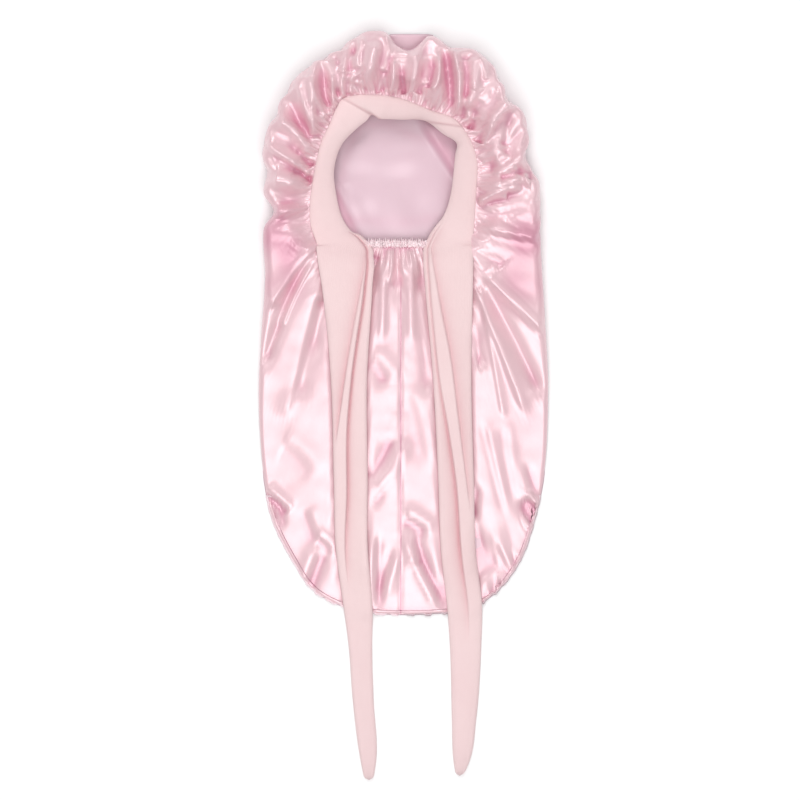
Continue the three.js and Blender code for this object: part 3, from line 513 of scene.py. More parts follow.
def curve_through(knots, values, at):
    """A cubic through values at knots, with each slope taken from the two neighbours."""
    knots = np.asarray(knots, float)
    values = np.asarray(values, float)
    slopes = np.gradient(values, knots)
    x = np.clip(at, knots[0], knots[-1])
    i = np.clip(np.searchsorted(knots, x, side="right") - 1, 0, len(knots) - 2)
    span = knots[i + 1] - knots[i]
    t = (x - knots[i]) / span
    a, b = values[i], values[i + 1]
    bend = (1 - t) * slopes[i] - t * slopes[i + 1] + (b - a) / span * (2 * t - 1)
    return a + (b - a) * t + t * (1 - t) * span * bend


def length_along(path):
    """The length run to each point of a path, from 0."""
    return np.concatenate([[0], np.cumsum(np.linalg.norm(np.diff(path, axis=0), axis=1))])


def path_at(path, run, at):
    """The places of a path in plan where its run has the values at."""
    return np.stack([np.interp(at, run, path[:, k]) for k in range(2)], axis=1)


def beside_line(x, y, x1, y1, x2, y2):
    """The run along a straight line, as a share of its length, and the distance to its
    right."""
    length = np.hypot(x2 - x1, y2 - y1)
    run = ((x - x1) * (x2 - x1) + (y - y1) * (y2 - y1)) / length**2
    return run, ((x - x1) * (y2 - y1) - (y - y1) * (x2 - x1)) / length


def closed_loop(points, count):
    """A closed centripetal Catmull-Rom loop through points, as evenly spaced points."""
    n = len(points)
    pieces = []
    t = np.linspace(0, 1, 40, endpoint=False)[:, None]
    for i in range(n):
        p0, p1, p2, p3 = (points[(i + k - 1) % n] for k in range(4))
        d1, d2, d3 = (max(np.linalg.norm(b - a), 1e-6) ** 0.5 for a, b in ((p0, p1), (p1, p2), (p2, p3)))
        m1 = (p2 - p1) / d2 - (p2 - p0) / (d1 + d2) + (p1 - p0) / d1
        m2 = (p3 - p2) / d3 - (p3 - p1) / (d2 + d3) + (p2 - p1) / d2
        m1, m2 = m1 * d2, m2 * d2
        pieces.append((2 * t**3 - 3 * t**2 + 1) * p1 + (t**3 - 2 * t**2 + t) * m1
                      + (3 * t**2 - 2 * t**3) * p2 + (t**3 - t**2) * m2)
    dense = np.concatenate(pieces + [points[:1]])
    run = length_along(dense)
    return path_at(dense, run, np.linspace(0, run[-1], count, endpoint=False))


def bend_through(places):
    """A smooth bend through three places, as nine points on a parabola."""
    t = np.linspace(0, 1, 9)[:, None]
    a, b, c = places
    return a * (1 - t) * (1 - 2 * t) + b * 4 * t * (1 - t) + c * t * (2 * t - 1)


def distance_to(path, x, y, closed=True):
    """The least distance from each place to a path of straight pieces."""
    a = path
    b = np.roll(path, -1, axis=0)
    if not closed:
        a, b = path[:-1], path[1:]
    d = b - a
    least = np.full(x.size, np.inf)
    px, py = x.reshape(-1, 1), y.reshape(-1, 1)
    for part in np.array_split(np.arange(len(a)), min(8, len(a))):
        dx, dy = d[part, 0], d[part, 1]
        share = ((px - a[part, 0]) * dx + (py - a[part, 1]) * dy) / (dx * dx + dy * dy)
        share = np.clip(share, 0, 1)
        away = np.hypot(px - a[part, 0] - share * dx, py - a[part, 1] - share * dy)
        least = np.minimum(least, away.min(axis=1))
    return least.reshape(x.shape)


def place(across, along):
    """A place on the bag from its shares of half its width and of its length."""
    return np.stack([across * HALF_WIDTH, CROWN_TOP - along * BAG_LENGTH], axis=-1)


def share_along(y):
    """How far down the bag a place lies, as a share of its length from the crown's top."""
    return (CROWN_TOP - y) / BAG_LENGTH


def turn_of(x, y):
    """Degrees from the brow, clockwise, seen from the opening's centre."""
    return np.degrees(np.arctan2(x - CENTRE[0], y - CENTRE[1]))


def at_turn(turn, distance):
    """The place at a turn and a distance from the opening's centre."""
    angle = np.radians(turn)
    return CENTRE + np.stack([distance * np.sin(angle), distance * np.cos(angle)], axis=-1)


def opening_radius(turn):
    """The opening's own radius at a turn: an ellipse."""
    angle = np.radians(turn)
    return 1 / np.hypot(np.sin(angle) / (OPENING_WIDTH / 2), np.cos(angle) / (OPENING_LENGTH / 2))


def rim_radius(turn):
    """Radius of the front's inner edge: under the band's outer edge, and across the nape."""
    drop = NAPE_DROP - NAPE_RISE
    corner = np.degrees(np.arctan2(NAPE_WIDTH / 2, -drop))
    corner_radius = np.hypot(NAPE_WIDTH / 2, drop)
    outer = BAND[1:-1, 2]
    radius = opening_radius(outer) + BAND_WIDTH * BAND[1:-1, 3] - BAND_LAP
    turns = np.concatenate([[-180, -corner], outer, [corner, 180]])
    radii = np.concatenate([[drop, corner_radius], radius, [corner_radius, drop]])
    return curve_through(turns, radii, turn)


outline = closed_loop(place(OUTLINE[:, 0], OUTLINE[:, 1]), 720)
rim_loop = at_turn(np.arange(-180, 180, 2.0), rim_radius(np.arange(-180, 180, 2.0)))


def fold_height(x, y, folds, step_like=False):
    """The sum of the folds, each along a bent line. A ridge has a crisp crest, a gentler upper
    flank, and fades out towards both ends. A groove is broad and shallow where its line starts
    and grows narrow and deep to where it ends. A step-like one rises on the line's left,
    falls on its right, and dies away on both sides."""
    total = np.zeros_like(x)
    for x1, y1, x2, y2, x3, y3, width, height in folds:
        path = bend_through(place(np.array([x1, x2, x3]), np.array([y1, y2, y3])))
        reach = FOLD_WIDTH * width
        lo, hi = path.min(axis=0) - 3 * reach, path.max(axis=0) + 3 * reach
        near = (x > lo[0]) & (x < hi[0]) & (y > lo[1]) & (y < hi[1])
        step = np.diff(path, axis=0)
        if not near.any():
            continue
        px, py = x[near][:, None] - path[:-1, 0], y[near][:, None] - path[:-1, 1]
        share = np.clip((px * step[:, 0] + py * step[:, 1]) / (step**2).sum(axis=1), 0, 1)
        away = np.hypot(px - share * step[:, 0], py - share * step[:, 1])
        best = away.argmin(axis=1)[:, None]
        run = (best + np.take_along_axis(share, best, axis=1))[:, 0] / len(step)
        away = np.take_along_axis(away, best, axis=1)[:, 0]
        d = step[best[:, 0]]
        k = np.arange(len(best))
        left = d[:, 0] * py[k, best[:, 0]] - d[:, 1] * px[k, best[:, 0]]
        lean = np.sign(left) * np.sign(x3 - x1 + 1e-9) * min(1.0, abs(x3 - x1) / 0.15)
        rounded = np.sqrt(away**2 + FOLD_ROUND**2) - FOLD_ROUND
        if step_like:
            fade = smooth(run / RIDGE_FADE) * smooth((1 - run) / RIDGE_FADE)
            shape = np.sign(left) * (away / reach) * np.exp(0.5 - 0.5 * (2 * away / reach) ** 2) * 2
        elif height > 0:
            fade = smooth(run / RIDGE_FADE) * smooth((1 - run) / (0.5 * RIDGE_FADE))
            shape = np.exp(-3 * (rounded / (reach * (1 + FOLD_LEAN * lean))) ** RIDGE_CREST)
        else:
            fade = smooth(run / VALLEY_FADE) * smooth((1 - run) / (0.2 * VALLEY_FADE))
            spread = VALLEY_WIDE - (VALLEY_WIDE - VALLEY_NARROW) * run
            shape = np.exp(-3 * (rounded / (reach * spread)) ** VALLEY_CREST)
        total[near] += FOLD_HEIGHT * height * fade * shape
    return total


def make_spokes():
    """Rim and hem points of each column, spaced by the rim's and the hem's lengths."""
    turn = turn_of(outline[:, 0], outline[:, 1])
    rim = at_turn(turn, rim_radius(turn))
    at_hem, at_rim = (np.linalg.norm(np.roll(p, -1, axis=0) - p, axis=1) for p in (outline, rim))
    run = np.concatenate([[0], np.cumsum(at_hem + 2 * at_rim)])
    even = np.linspace(0, run[-1], COARSE_COLUMNS, endpoint=False)
    hem = path_at(np.concatenate([outline, outline[:1]]), run, even)
    turn = turn_of(hem[:, 0], hem[:, 1])
    return at_turn(turn, rim_radius(turn)), hem, turn


def front_start(rim, hem):
    """The front's first shape on a grid of rows from the rim to the hem. In plan each column
    runs straight out, then follows a round roll that tucks under at the hem. Its height is
    the puff, sunk to the band's seat, plus the folds, times the roll's own rise."""
    length = np.linalg.norm(hem - rim, axis=1)
    probe = hem + SLANT_PROBE * (rim - hem)
    from_edge = distance_to(outline, probe[:, 0], probe[:, 1])
    slant = np.maximum(from_edge / (SLANT_PROBE * length), LEAST_SLANT)
    lap = np.linspace(0, BAND_LAP, COARSE_LAP_ROWS)[:, None] / length
    along = share_along(hem[:, 1])
    reach = (HEM_ROLL + (LOW_ROLL - HEM_ROLL) * ramp(along, *ROLL_CHANGE)) / (length * slant)
    tuck = np.radians(HEM_TUCK) * (1 - ramp(along, *TUCK_CHANGE))
    angle = np.pi / 2 - np.linspace(0, 1, ROLL_ROWS)[:, None] * (np.pi / 2 + tuck)
    roll_share = 1 - reach * (1 - np.cos(angle))
    rise = (np.sin(angle) + np.sin(tuck)) / (1 + np.sin(tuck))
    middle_rows = COARSE_ROWS - COARSE_LAP_ROWS - ROLL_ROWS
    step = np.linspace(0, 1, middle_rows + 2)[1:-1, None]
    middle = lap[-1] + (roll_share[0] - lap[-1]) * step
    share = np.concatenate([lap, middle, roll_share])
    roll = np.concatenate([np.ones((COARSE_LAP_ROWS + middle_rows, len(rim))), rise])
    plan = rim + (hem - rim) * share[..., None]
    x, y = plan[..., 0], plan[..., 1]
    from_rim = distance_to(rim_loop, x, y)
    seat = SEAT_HEIGHT * curve_through(SEAT[:, 0], SEAT[:, 1], share_along(y))
    puff = CROWN_HEIGHT * curve_through(PUFF[:, 0], PUFF[:, 1], share_along(y))
    swell = smooth((from_rim - BAND_LAP) / SWELL_REACH)
    from_hem = distance_to(outline, x, y)
    low = ramp(share_along(y), *LOW_CHANGE)
    puff = puff * (1 - low * LOW_SINK * (1 - smooth(from_hem / LOW_REACH)))
    folds = fold_height(x, y, FOLDS[FOLDS[:, 6] >= BROAD_FOLD])
    height = seat + (puff - seat) * swell + swell * folds
    z = FLOOR_GAP + (height - FLOOR_GAP) * roll
    return np.concatenate([plan, z[..., None]], axis=-1), from_rim


def edge_lengths(points, down, across):
    """Lengths of the grid's edges to the vertex some rows down and columns across."""
    rows = len(points) - down
    other = np.roll(points, -across, axis=1)[down:]
    return np.linalg.norm(other - points[:rows], axis=-1)


def relax(points, free, families, base, hold, steps):
    """Cloth relaxed on a closed grid. At each step every edge of every family moves its two
    ends towards the edge's rest length, each vertex drifts on with most of its last move,
    and a soft hold draws it back to the base surface. Too much cloth then buckles."""
    now = points.copy()
    last = points.copy()
    for _ in range(steps):
        drift = 0.86 * (now - last)
        last = now.copy()
        now = now + drift * free
        now += hold * (base - now) * free
        for down, across, rest, strength in families:
            rows = len(now) - down
            span = np.roll(now, -across, axis=1)[down:] - now[:rows]
            length = np.linalg.norm(span, axis=-1, keepdims=True)
            move = strength * (1 - rest[..., None] / np.maximum(length, 1e-6)) * span
            change = np.zeros_like(now)
            change[:rows] += move
            change[down:] -= np.roll(move, across, axis=1)
            now += change * free
        now[..., 2] = np.maximum(now[..., 2], FLOOR_GAP)
    return now


def finer(points, rows, columns):
    """The grid with more rows and columns, each new point on a cubic through the four old
    ones about it, down the rows and then round the columns."""
    old_rows, old_columns = points.shape[:2]

    def cubic(p, at, index):
        i = np.floor(at).astype(int)
        t = (at - i).reshape(-1, 1, 1)
        a, b, c, d = (p[index(i + k)] for k in (-1, 0, 1, 2))
        return b + 0.5 * t * (c - a + t * (2 * a - 5 * b + 4 * c - d + t * (3 * (b - c) + d - a)))

    down = np.linspace(0, old_rows - 1, rows)
    down[-1] -= 1e-6
    out = cubic(points, down, lambda k: np.clip(k, 0, old_rows - 1))
    round_about = np.arange(columns) * old_columns / columns
    out = cubic(out.transpose(1, 0, 2), round_about, lambda k: k % old_columns)
    return out.transpose(1, 0, 2)


def soft_noise(x, y, size, seed):
    """Smooth noise from a sum of waves in random directions with about one wavelength."""
    rng = np.random.default_rng(seed)
    total = np.zeros_like(x)
    for _ in range(24):
        angle = rng.uniform(0, 2 * np.pi)
        length = size * rng.uniform(0.7, 1.6)
        phase = rng.uniform(0, 2 * np.pi)
        total += np.sin(2 * np.pi * (x * np.cos(angle) + y * np.sin(angle)) / length + phase)
    return total / np.sqrt(12)


def spoke_noise(x, y, ripples, seed):
    """Smooth noise whose ridges run out from the opening: waves round the turn, about as
    many as ripples, that lean and change slowly with the distance from the centre."""
    rng = np.random.default_rng(seed)
    turn = np.radians(turn_of(x, y))
    away = np.hypot(x - CENTRE[0], y - CENTRE[1])
    turn = turn + 0.10 * soft_noise(x, y, 0.11, seed + 1)
    total = np.zeros_like(x)
    for _ in range(16):
        count = np.round(ripples * rng.uniform(0.6, 1.5))
        lean = rng.uniform(-1, 1) * 2 * np.pi / SPOKE_LEAN
        total += np.sin(count * turn + lean * away + rng.uniform(0, 2 * np.pi))
    return total / np.sqrt(8)


def cloth_families(points, u_excess, v_excess, bend):
    """The grid's edges with their rest lengths: round, down, both diagonals, and every other
    vertex round and down, which keeps the cloth from creasing too sharply."""
    both = 0.5 * (u_excess + v_excess)
    between = 0.5 * (both[1:] + both[:-1])
    return [
        (0, 1, edge_lengths(points, 0, 1) * (1 + u_excess), 0.3),
        (1, 0, edge_lengths(points, 1, 0) * (1 + 0.5 * (v_excess[1:] + v_excess[:-1])), 0.3),
        (1, 1, edge_lengths(points, 1, 1) * (1 + between), 0.06),
        (1, -1, edge_lengths(points, 1, -1) * (1 + between), 0.06),
        (0, 2, edge_lengths(points, 0, 2) * (1 + u_excess), bend),
        (2, 0, edge_lengths(points, 2, 0) * (1 + v_excess[1:-1]), bend),
    ]


def tie_dent(x, y):
    """How far the ties press the front in: a flat-bottomed dent over each tie's width."""
    depth = np.zeros_like(x)
    for side, mirror in (("left", -1), ("right", 1)):
        along, inset, width = TIE[side].T
        run = np.clip((CENTRE[1] - NAPE_DROP - y) / TIE_LENGTH[side], 0, 1)
        inner = CENTRE[0] + mirror * NAPE_WIDTH / 2 * curve_through(along, inset, run)
        half = TIE_WIDTH / 2 * curve_through(along, width, run)
        off = np.abs(x - inner - mirror * half) / half
        depth += TIE_DENT * ramp(off, *DENT_EDGE) * smooth(run / DENT_START)
    return depth


def seam_line(x, y):
    """The centre seam's shape: a soft groove from the nape to the foot, drawn in by its
    thread, with small puckers on both sides."""
    off = np.abs(x - SEAM_X)
    below = smooth((CENTRE[1] - NAPE_DROP - SEAM_START - y) / SEAM_FADE)
    waves = np.sin(2 * np.pi * y / PUCKER_PERIOD + 2 * soft_noise(x, y, 0.06, 31))
    pucker = PUCKER * waves * np.exp(-off / PUCKER_REACH) * np.clip(off / PUCKER_START, 0, 1)
    return below * (pucker - SEAM_GROOVE * np.exp(-((off / SEAM_GROOVE_REACH) ** 2)))


def spare_cloth(turn):
    """The excess of cloth at the band and far from it, at a turn, from its table."""
    return [np.interp(turn, EXCESS[:, 0], EXCESS[:, k]) for k in (1, 2)]


def loose_rows(points, lap_rows):
    """1 for the rows that may move, and 0 for those under the band and for the hem."""
    free = np.ones(points.shape[:2] + (1,))
    free[:lap_rows] = 0
    free[-1] = 0
    return free


def make_front_points():
    """The front, relaxed twice. First on a coarse grid, where the spare cloth swells into
    poufs about the seeded folds, then on a fine one, where what is left over makes the small
    pleats at the band and light creases."""
    rim, hem, turn = make_spokes()
    start, from_rim = front_start(rim, hem)
    fade = np.exp(-np.maximum(from_rim - BAND_LAP, 0) / EXCESS_REACH)
    at_band, far = spare_cloth(turn)
    excess = far + (POUF_SHARE * at_band - far) * fade
    inside = ramp(from_rim, BAND_LAP, POUF_START)
    inside = inside * smooth(np.arange(len(start))[::-1, None] / COARSE_FADE_ROWS)
    x, y = start[..., 0], start[..., 1]
    near = np.exp(-np.maximum(from_rim - BAND_LAP, 0) / POUF_REACH)
    start[..., 2] += POUF_SEED * inside * near * spoke_noise(x, y, POUF_RIPPLES, 3) * at_band
    start[..., 2] -= inside * tie_dent(x, y)
    v_excess = np.broadcast_to(DOWN_SHARE * far, excess.shape) * inside
    families = cloth_families(start, excess * inside, v_excess, BEND)
    free = loose_rows(start, COARSE_LAP_ROWS)
    coarse = relax(start, free, families, start, COARSE_HOLD, COARSE_STEPS)

    fine = finer(coarse, ROWS, COLUMNS)
    x, y = fine[..., 0], fine[..., 1]
    from_rim = distance_to(rim_loop, x, y)
    turn = turn_of(x, y)
    at_band, far = spare_cloth(turn)
    out = np.maximum(from_rim - BAND_LAP, 0)
    rng = np.random.default_rng(7)
    wander = np.cumsum(rng.uniform(0.5, 1.5, COLUMNS))
    short, long = PLEAT_COLUMNS
    pleat = np.sin(2 * np.pi * wander / short) + 0.7 * np.sin(2 * np.pi * wander / long + 1.0)
    near = np.exp(-out / PLEAT_REACH)
    inside = smooth(from_rim / BAND_LAP - 0.75)
    inside = inside * smooth(np.arange(ROWS)[::-1, None] / FINE_FADE_ROWS)
    fine[..., 2] += GATHER_SEED * pleat * near * at_band * inside
    tuft = 1 - 2 * np.abs(np.sin(np.pi * wander / TUFT_COLUMNS + soft_noise(x, y, 0.06, 9)))
    fine[..., 2] += TUFT_SEED * tuft * np.exp(-out / TUFT_REACH) * at_band * inside
    fine[..., 2] += RUMPLE_HEIGHT * soft_noise(x, y, RUMPLE_SIZE, 5) * inside
    fine[..., 2] += inside * fold_height(x, y, FOLDS[FOLDS[:, 6] < BROAD_FOLD])
    fine[..., 2] += inside * fold_height(x, y, BAG_STEPS, step_like=True)
    fine[..., 2] += inside * seam_line(x, y)
    crease = CREASE_SHARE * (0.25 + far * 5)
    u_excess = (PLEAT_SHARE * at_band * near + crease) * inside
    families = cloth_families(fine, u_excess, crease * inside, BEND)
    free = loose_rows(fine, LAP_ROWS)
    return relax(fine, free, families, fine.copy(), FINE_HOLD, FINE_STEPS)


def mesh_piece(name, points, around=False, uv=None, attributes=None, flip=False):
    """A mesh from a grid of points, one quad a cell, with UVs in metres and attributes."""
    rows, columns = points.shape[:2]
    last = columns if around else columns - 1
    r, c = np.meshgrid(np.arange(rows - 1), np.arange(last), indexing="ij")
    r, c = r.ravel(), c.ravel()
    n = (c + 1) % columns
    quads = np.stack([r * columns + c, r * columns + n, (r + 1) * columns + n, (r + 1) * columns + c], axis=1)
    if flip:
        quads = quads[:, ::-1]
    mesh = bpy.data.meshes.new(name)
    mesh.vertices.add(rows * columns)
    mesh.vertices.foreach_set("co", points.reshape(-1).astype(np.float32))
    mesh.loops.add(quads.size)
    mesh.loops.foreach_set("vertex_index", quads.reshape(-1).astype(np.int32))
    mesh.polygons.add(len(quads))
    mesh.polygons.foreach_set("loop_start", np.arange(0, quads.size, 4, dtype=np.int32))
    mesh.polygons.foreach_set("loop_total", np.full(len(quads), 4, dtype=np.int32))
    if uv is not None:
        cell_u = np.stack([c, c + 1, c + 1, c], axis=1)
        cell_v = np.stack([r, r, r + 1, r + 1], axis=1)
        if flip:
            cell_u, cell_v = cell_u[:, ::-1], cell_v[:, ::-1]
        layer = mesh.uv_layers.new(name="cloth")
        layer.data.foreach_set("uv", uv[cell_v, cell_u].reshape(-1).astype(np.float32))
    mesh.update()
    mesh.validate()
    for key, values in (attributes or {}).items():
        attribute = mesh.attributes.new(key, "FLOAT", "POINT")
        attribute.data.foreach_set("value", values.reshape(-1).astype(np.float32))
    mesh.polygons.foreach_set("use_smooth", np.ones(len(mesh.polygons), dtype=bool))
    piece = bpy.data.objects.new(name, mesh)
    bpy.context.scene.collection.objects.link(piece)
    return piece


def closed_ends(points):
    """The grid with a row at each end drawn in to a point, which closes a tube."""
    ends = [np.broadcast_to(row.mean(axis=1, keepdims=True), row.shape) for row in (points[:1], points[-1:])]
    return np.concatenate([ends[0], points, ends[1]])


def close_up(piece):
    """Merges the points that lie on each other, and turns the closed skin's faces outwards."""
    shape = bmesh.new()
    shape.from_mesh(piece.data)
    bmesh.ops.remove_doubles(shape, verts=shape.verts, dist=1e-7)
    bmesh.ops.recalc_face_normals(shape, faces=shape.faces)
    shape.to_mesh(piece.data)
    shape.free()


def valleys(points, around):
    """How deep each place lies under its surroundings, as a share of VALLEY_DEPTH: the painted shade of the
    valleys.
    """
    z = points[..., 2]
    return smooth((blurred(z, VALLEY_BLUR, around) - z) / VALLEY_DEPTH)


def sagging_side_shade(points):
    """The painted shade of the sagging sides next to the band's lower half, as a share of
    SIDE_SHADE: a deeper pink in place of the shade their slope would give. It rises away from
    the middle and fades towards the crown and the bag."""
    x, y = points[..., 0], points[..., 1]
    beside = ramp(np.abs(x / HALF_WIDTH), *SIDE_ACROSS)
    level = ramp(share_along(y), *SIDE_TOP) * ramp(share_along(y), *SIDE_FOOT)
    change = 1 - SIDE_CHANGE + SIDE_CHANGE * soft_noise(x, y, 0.05, 31)
    return SIDE_SHADE * beside * level * change


def seam_marks(points):
    """Where the centre seam's and the hem's stitched lines run, each as a share."""
    x, y = points[..., 0], points[..., 1]
    below = smooth((CENTRE[1] - NAPE_DROP - SEAM_FADE - y) / SEAM_FADE)
    centre = ramp(np.abs(x - SEAM_X), *LINE_STRIP) * below
    from_line = distance_to(outline, x, y) - HEM_LINE
    hem = np.exp(-((from_line / LINE_WIDTH) ** 2)) * ramp(share_along(y), *HEM_LINE_FROM)
    return {"centre": centre, "seam": hem}


def cloth_uv(points, around):
    """UVs in metres: length along the middle row, and length down each column."""
    rows = points
    if around:
        rows = np.concatenate([points, points[:, :1]], axis=1)
    u = np.linalg.norm(np.diff(rows, axis=1), axis=-1).mean(axis=0)
    u = np.concatenate([[0], np.cumsum(u)])
    v = np.linalg.norm(np.diff(rows, axis=0), axis=-1)
    v = np.concatenate([np.zeros((1, rows.shape[1])), np.cumsum(v, axis=0)])
    return np.stack([np.broadcast_to(u, v.shape), v], axis=-1)


def plan_uv(points):
    """UVs in metres straight from the plan, closed round."""
    return np.concatenate([points, points[:, :1]], axis=1)[..., :2]


def blurred(field, passes, around):
    """The field averaged with its neighbours again and again, closed across if around."""
    for _ in range(passes):
        wide = np.pad(field, ((1, 1), (0, 0)), mode="edge")
        field = 0.25 * wide[:-2] + 0.5 * field + 0.25 * wide[2:]
        side = np.pad(field, ((0, 0), (1, 1)), mode="wrap" if around else "edge")
        field = 0.25 * side[:, :-2] + 0.5 * field + 0.25 * side[:, 2:]
    return field


def height_map(points, step=MAP_STEP):
    """The highest point of a grid surface in each cell of a plan, holes filled from round
    about, as a function of x and y."""
    lo = np.array([cad_box[0][0], cad_box[0][1]]) - MAP_MARGIN
    hi = np.array([cad_box[1][0], cad_box[1][1]]) + MAP_MARGIN
    shape = np.ceil((hi - lo) / step).astype(int)
    heights = np.zeros(shape)
    closed = np.concatenate([points, points[:, :1]], axis=1)
    for a in np.linspace(0, 1, 5)[:-1]:
        for b in np.linspace(0, 1, 5)[:-1]:
            p = ((1 - a) * ((1 - b) * closed[:-1, :-1] + b * closed[:-1, 1:])
                 + a * ((1 - b) * closed[1:, :-1] + b * closed[1:, 1:])).reshape(-1, 3)
            cell = ((p[:, :2] - lo) / step).astype(int)
            np.maximum.at(heights, (cell[:, 0], cell[:, 1]), p[:, 2])

    def sample(x, y, passes=4):
        field = heights
        for _ in range(2):
            wide = np.pad(field, 1, mode="edge")
            field = np.max([wide[i:i + shape[0], j:j + shape[1]] for i in range(3) for j in range(3)], axis=0)
        field = blurred(field, passes, False)
        i = (x - lo[0]) / step - 0.5
        j = (y - lo[1]) / step - 0.5
        i0 = np.clip(i.astype(int), 0, shape[0] - 2)
        j0 = np.clip(j.astype(int), 0, shape[1] - 2)
        a, b = i - i0, j - j0
        return ((1 - a) * ((1 - b) * field[i0, j0] + b * field[i0, j0 + 1])
                + a * ((1 - b) * field[i0 + 1, j0] + b * field[i0 + 1, j0 + 1]))

    return sample


def strip_edges():
    """Outer and inner edge of the one knit strip as curves through its stations: up the left
    tie from its tip, round the opening as the band, and down the right tie."""
    outer, inner = [], []
    for side, mirror in (("left", -1), ("right", 1)):
        along, inset, width = TIE[side].T
        y = CENTRE[1] - NAPE_DROP - along * TIE_LENGTH[side]
        x = CENTRE[0] + mirror * NAPE_WIDTH / 2 * inset
        inner.append(np.stack([x, y], axis=1))
        outer.append(np.stack([x + mirror * TIE_WIDTH * width, y], axis=1))
    band_inner = at_turn(BAND[:, 0], BAND[:, 1] * opening_radius(BAND[:, 0]))
    band_outer = at_turn(BAND[:, 2], opening_radius(BAND[:, 2]) + BAND_WIDTH * BAND[:, 3])
    inner = np.concatenate([inner[0][::-1], band_inner, inner[1]])
    outer = np.concatenate([outer[0][::-1], band_outer, outer[1]])
    middle = 0.5 * (inner + outer)
    run = length_along(middle)
    ends = len(TIE["left"])
    knots = [0, run[ends] - 0.02, run[ends + len(BAND)] + 0.02, run[-1]]
    at = np.interp(np.arange(STRIP_STATIONS), np.array([0, 0.27, 0.73, 1]) * (STRIP_STATIONS - 1), knots)
    inner = np.stack([curve_through(run, inner[:, k], at) for k in range(2)], axis=1)
    outer = np.stack([curve_through(run, outer[:, k], at) for k in range(2)], axis=1)
    return outer, inner, at, run[ends - 1], run[ends + len(BAND)]


def strip_grooves(at, start, end, across):
    """Depth of the pleats' grooves over the strip, and the share by which their inner sides
    stand up. Each groove is soft to one side and steep to the other, where the next layer of
    the folded knit lies."""
    depth = np.zeros((len(at), len(across)))
    lift = np.zeros_like(depth)
    for side, run in (("left", (start - at) / start), ("right", (at - end) / (at[-1] - end))):
        for table in GROOVES[side]:
            middle = curve_through(table[:, 0], table[:, 1], run)[:, None]
            share = np.interp(run, table[:, 0], table[:, 2])[:, None]
            breadth = np.interp(run, table[:, 0], table[:, 3])[:, None]
            share = share * smooth((run + 0.05) / 0.05)[:, None]
            off = (across - middle) * np.sign(table[0, 3])
            away = np.abs(off) / np.where(off < 0, np.abs(breadth), GROOVE_EDGE)
            depth = depth + share * np.exp(-away * np.where(off < 0, 1.0, away))
            lift = lift + share * smooth(off / GROOVE_EDGE) * np.exp(-np.maximum(off, 0) / 0.25)
    return np.minimum(depth, 1.1), lift


def make_strip(below):
    """The knit strip as one closed skin. At each station a top and a bottom line run between
    its edges. The bottom lies on what carries it: the seat round the opening, sunk towards
    the inner edge, and the front's own height or the floor under the ties. The top stands
    over it by a rounded thickness less the grooves. With it comes a painted shade: a deeper
    pink down the grooves' shadowed sides and along the edges where the band folds over
    itself."""
    outer, inner, at, start, end = strip_edges()
    across = np.linspace(0, 1, STRIP_TOP)
    across = across - EDGE_CROWD * np.sin(2 * np.pi * across)
    away = np.minimum(at, at[-1] - at)
    tip = np.sqrt(np.clip(1 - (1 - np.clip(away / TIP_ROUND, 0, 1)) ** 2, 0.0004, 1))
    middle = 0.5 * (outer + inner)
    outer = middle + (outer - middle) * tip[:, None]
    inner = middle + (inner - middle) * tip[:, None]
    plan = outer[:, None] + (inner - outer)[:, None] * across[None, :, None]
    x, y = plan[..., 0], plan[..., 1]
    seat = SEAT_HEIGHT * curve_through(SEAT[:, 0], SEAT[:, 1], share_along(y))
    seat = seat - BAND_DIP * across**2 + STRIP_REST
    lie = below(x, y) + STRIP_REST
    half = TIE_BLEND / 2
    on_tie = np.maximum(smooth((start + half - at) / TIE_BLEND), smooth((at - end + half) / TIE_BLEND))
    on_tie = on_tie[:, None]
    bottom = seat + (lie - seat) * on_tie
    rounded = np.sqrt(np.clip(1 - np.abs(2 * across - 1) ** 5, 0, 1))
    thickness = KNIT_THICKNESS + (TIE_THICKNESS - KNIT_THICKNESS) * on_tie
    thickness = thickness * tip[:, None]
    band_bulge = BAND_BULGE * (1 - on_tie) * np.sin(np.pi * across) ** 0.8
    groove, lift = strip_grooves(at, start, end, across)
    grooves = np.minimum(GROOVE_DEPTH, GROOVE_MOST * thickness) * groove - PLEAT_LIFT * lift
    over = np.zeros_like(x)
    # Painted shade of the knit: the grooves' depth, soft on their shadowed side, darkens the colour.
    fold_shade = groove.copy()
    for *ends, height in BAND_STEPS:
        run, right = beside_line(x, y, *ends)
        left = -right
        near = ramp(run, -STEP_OVERRUN, STEP_END) * ramp(run, 1 + STEP_OVERRUN, -STEP_END)
        # Painted shade: a thin dark line along each fold-over edge.
        fold_shade += near * np.exp(-((left / STEP_EDGE) ** 2)) * (1 - on_tie) * STEP_SHADE
        upper_layer = ramp(left, -STEP_EDGE, STEP_EDGE) * np.exp(-np.maximum(left, 0) / STEP_FADE)
        over += height * near * upper_layer
    top = bottom + (thickness + band_bulge - grooves) * rounded + over * (1 - on_tie)
    under = np.maximum(bottom + UNDER_ROUND * thickness * (1 - rounded), BACK_LIFT)
    top = np.maximum(top, under + LEAST_THICKNESS)
    upper = np.concatenate([plan, top[..., None]], axis=-1)
    lower = np.concatenate([plan, under[..., None]], axis=-1)[:, ::-2]
    fold_shade = np.concatenate([np.clip(fold_shade, 0, 1), np.zeros(lower[:, 1:-1].shape[:2])], axis=1)
    return closed_ends(np.concatenate([upper, lower[:, 1:-1]], axis=1)), np.pad(fold_shade, ((1, 1), (0, 0)))


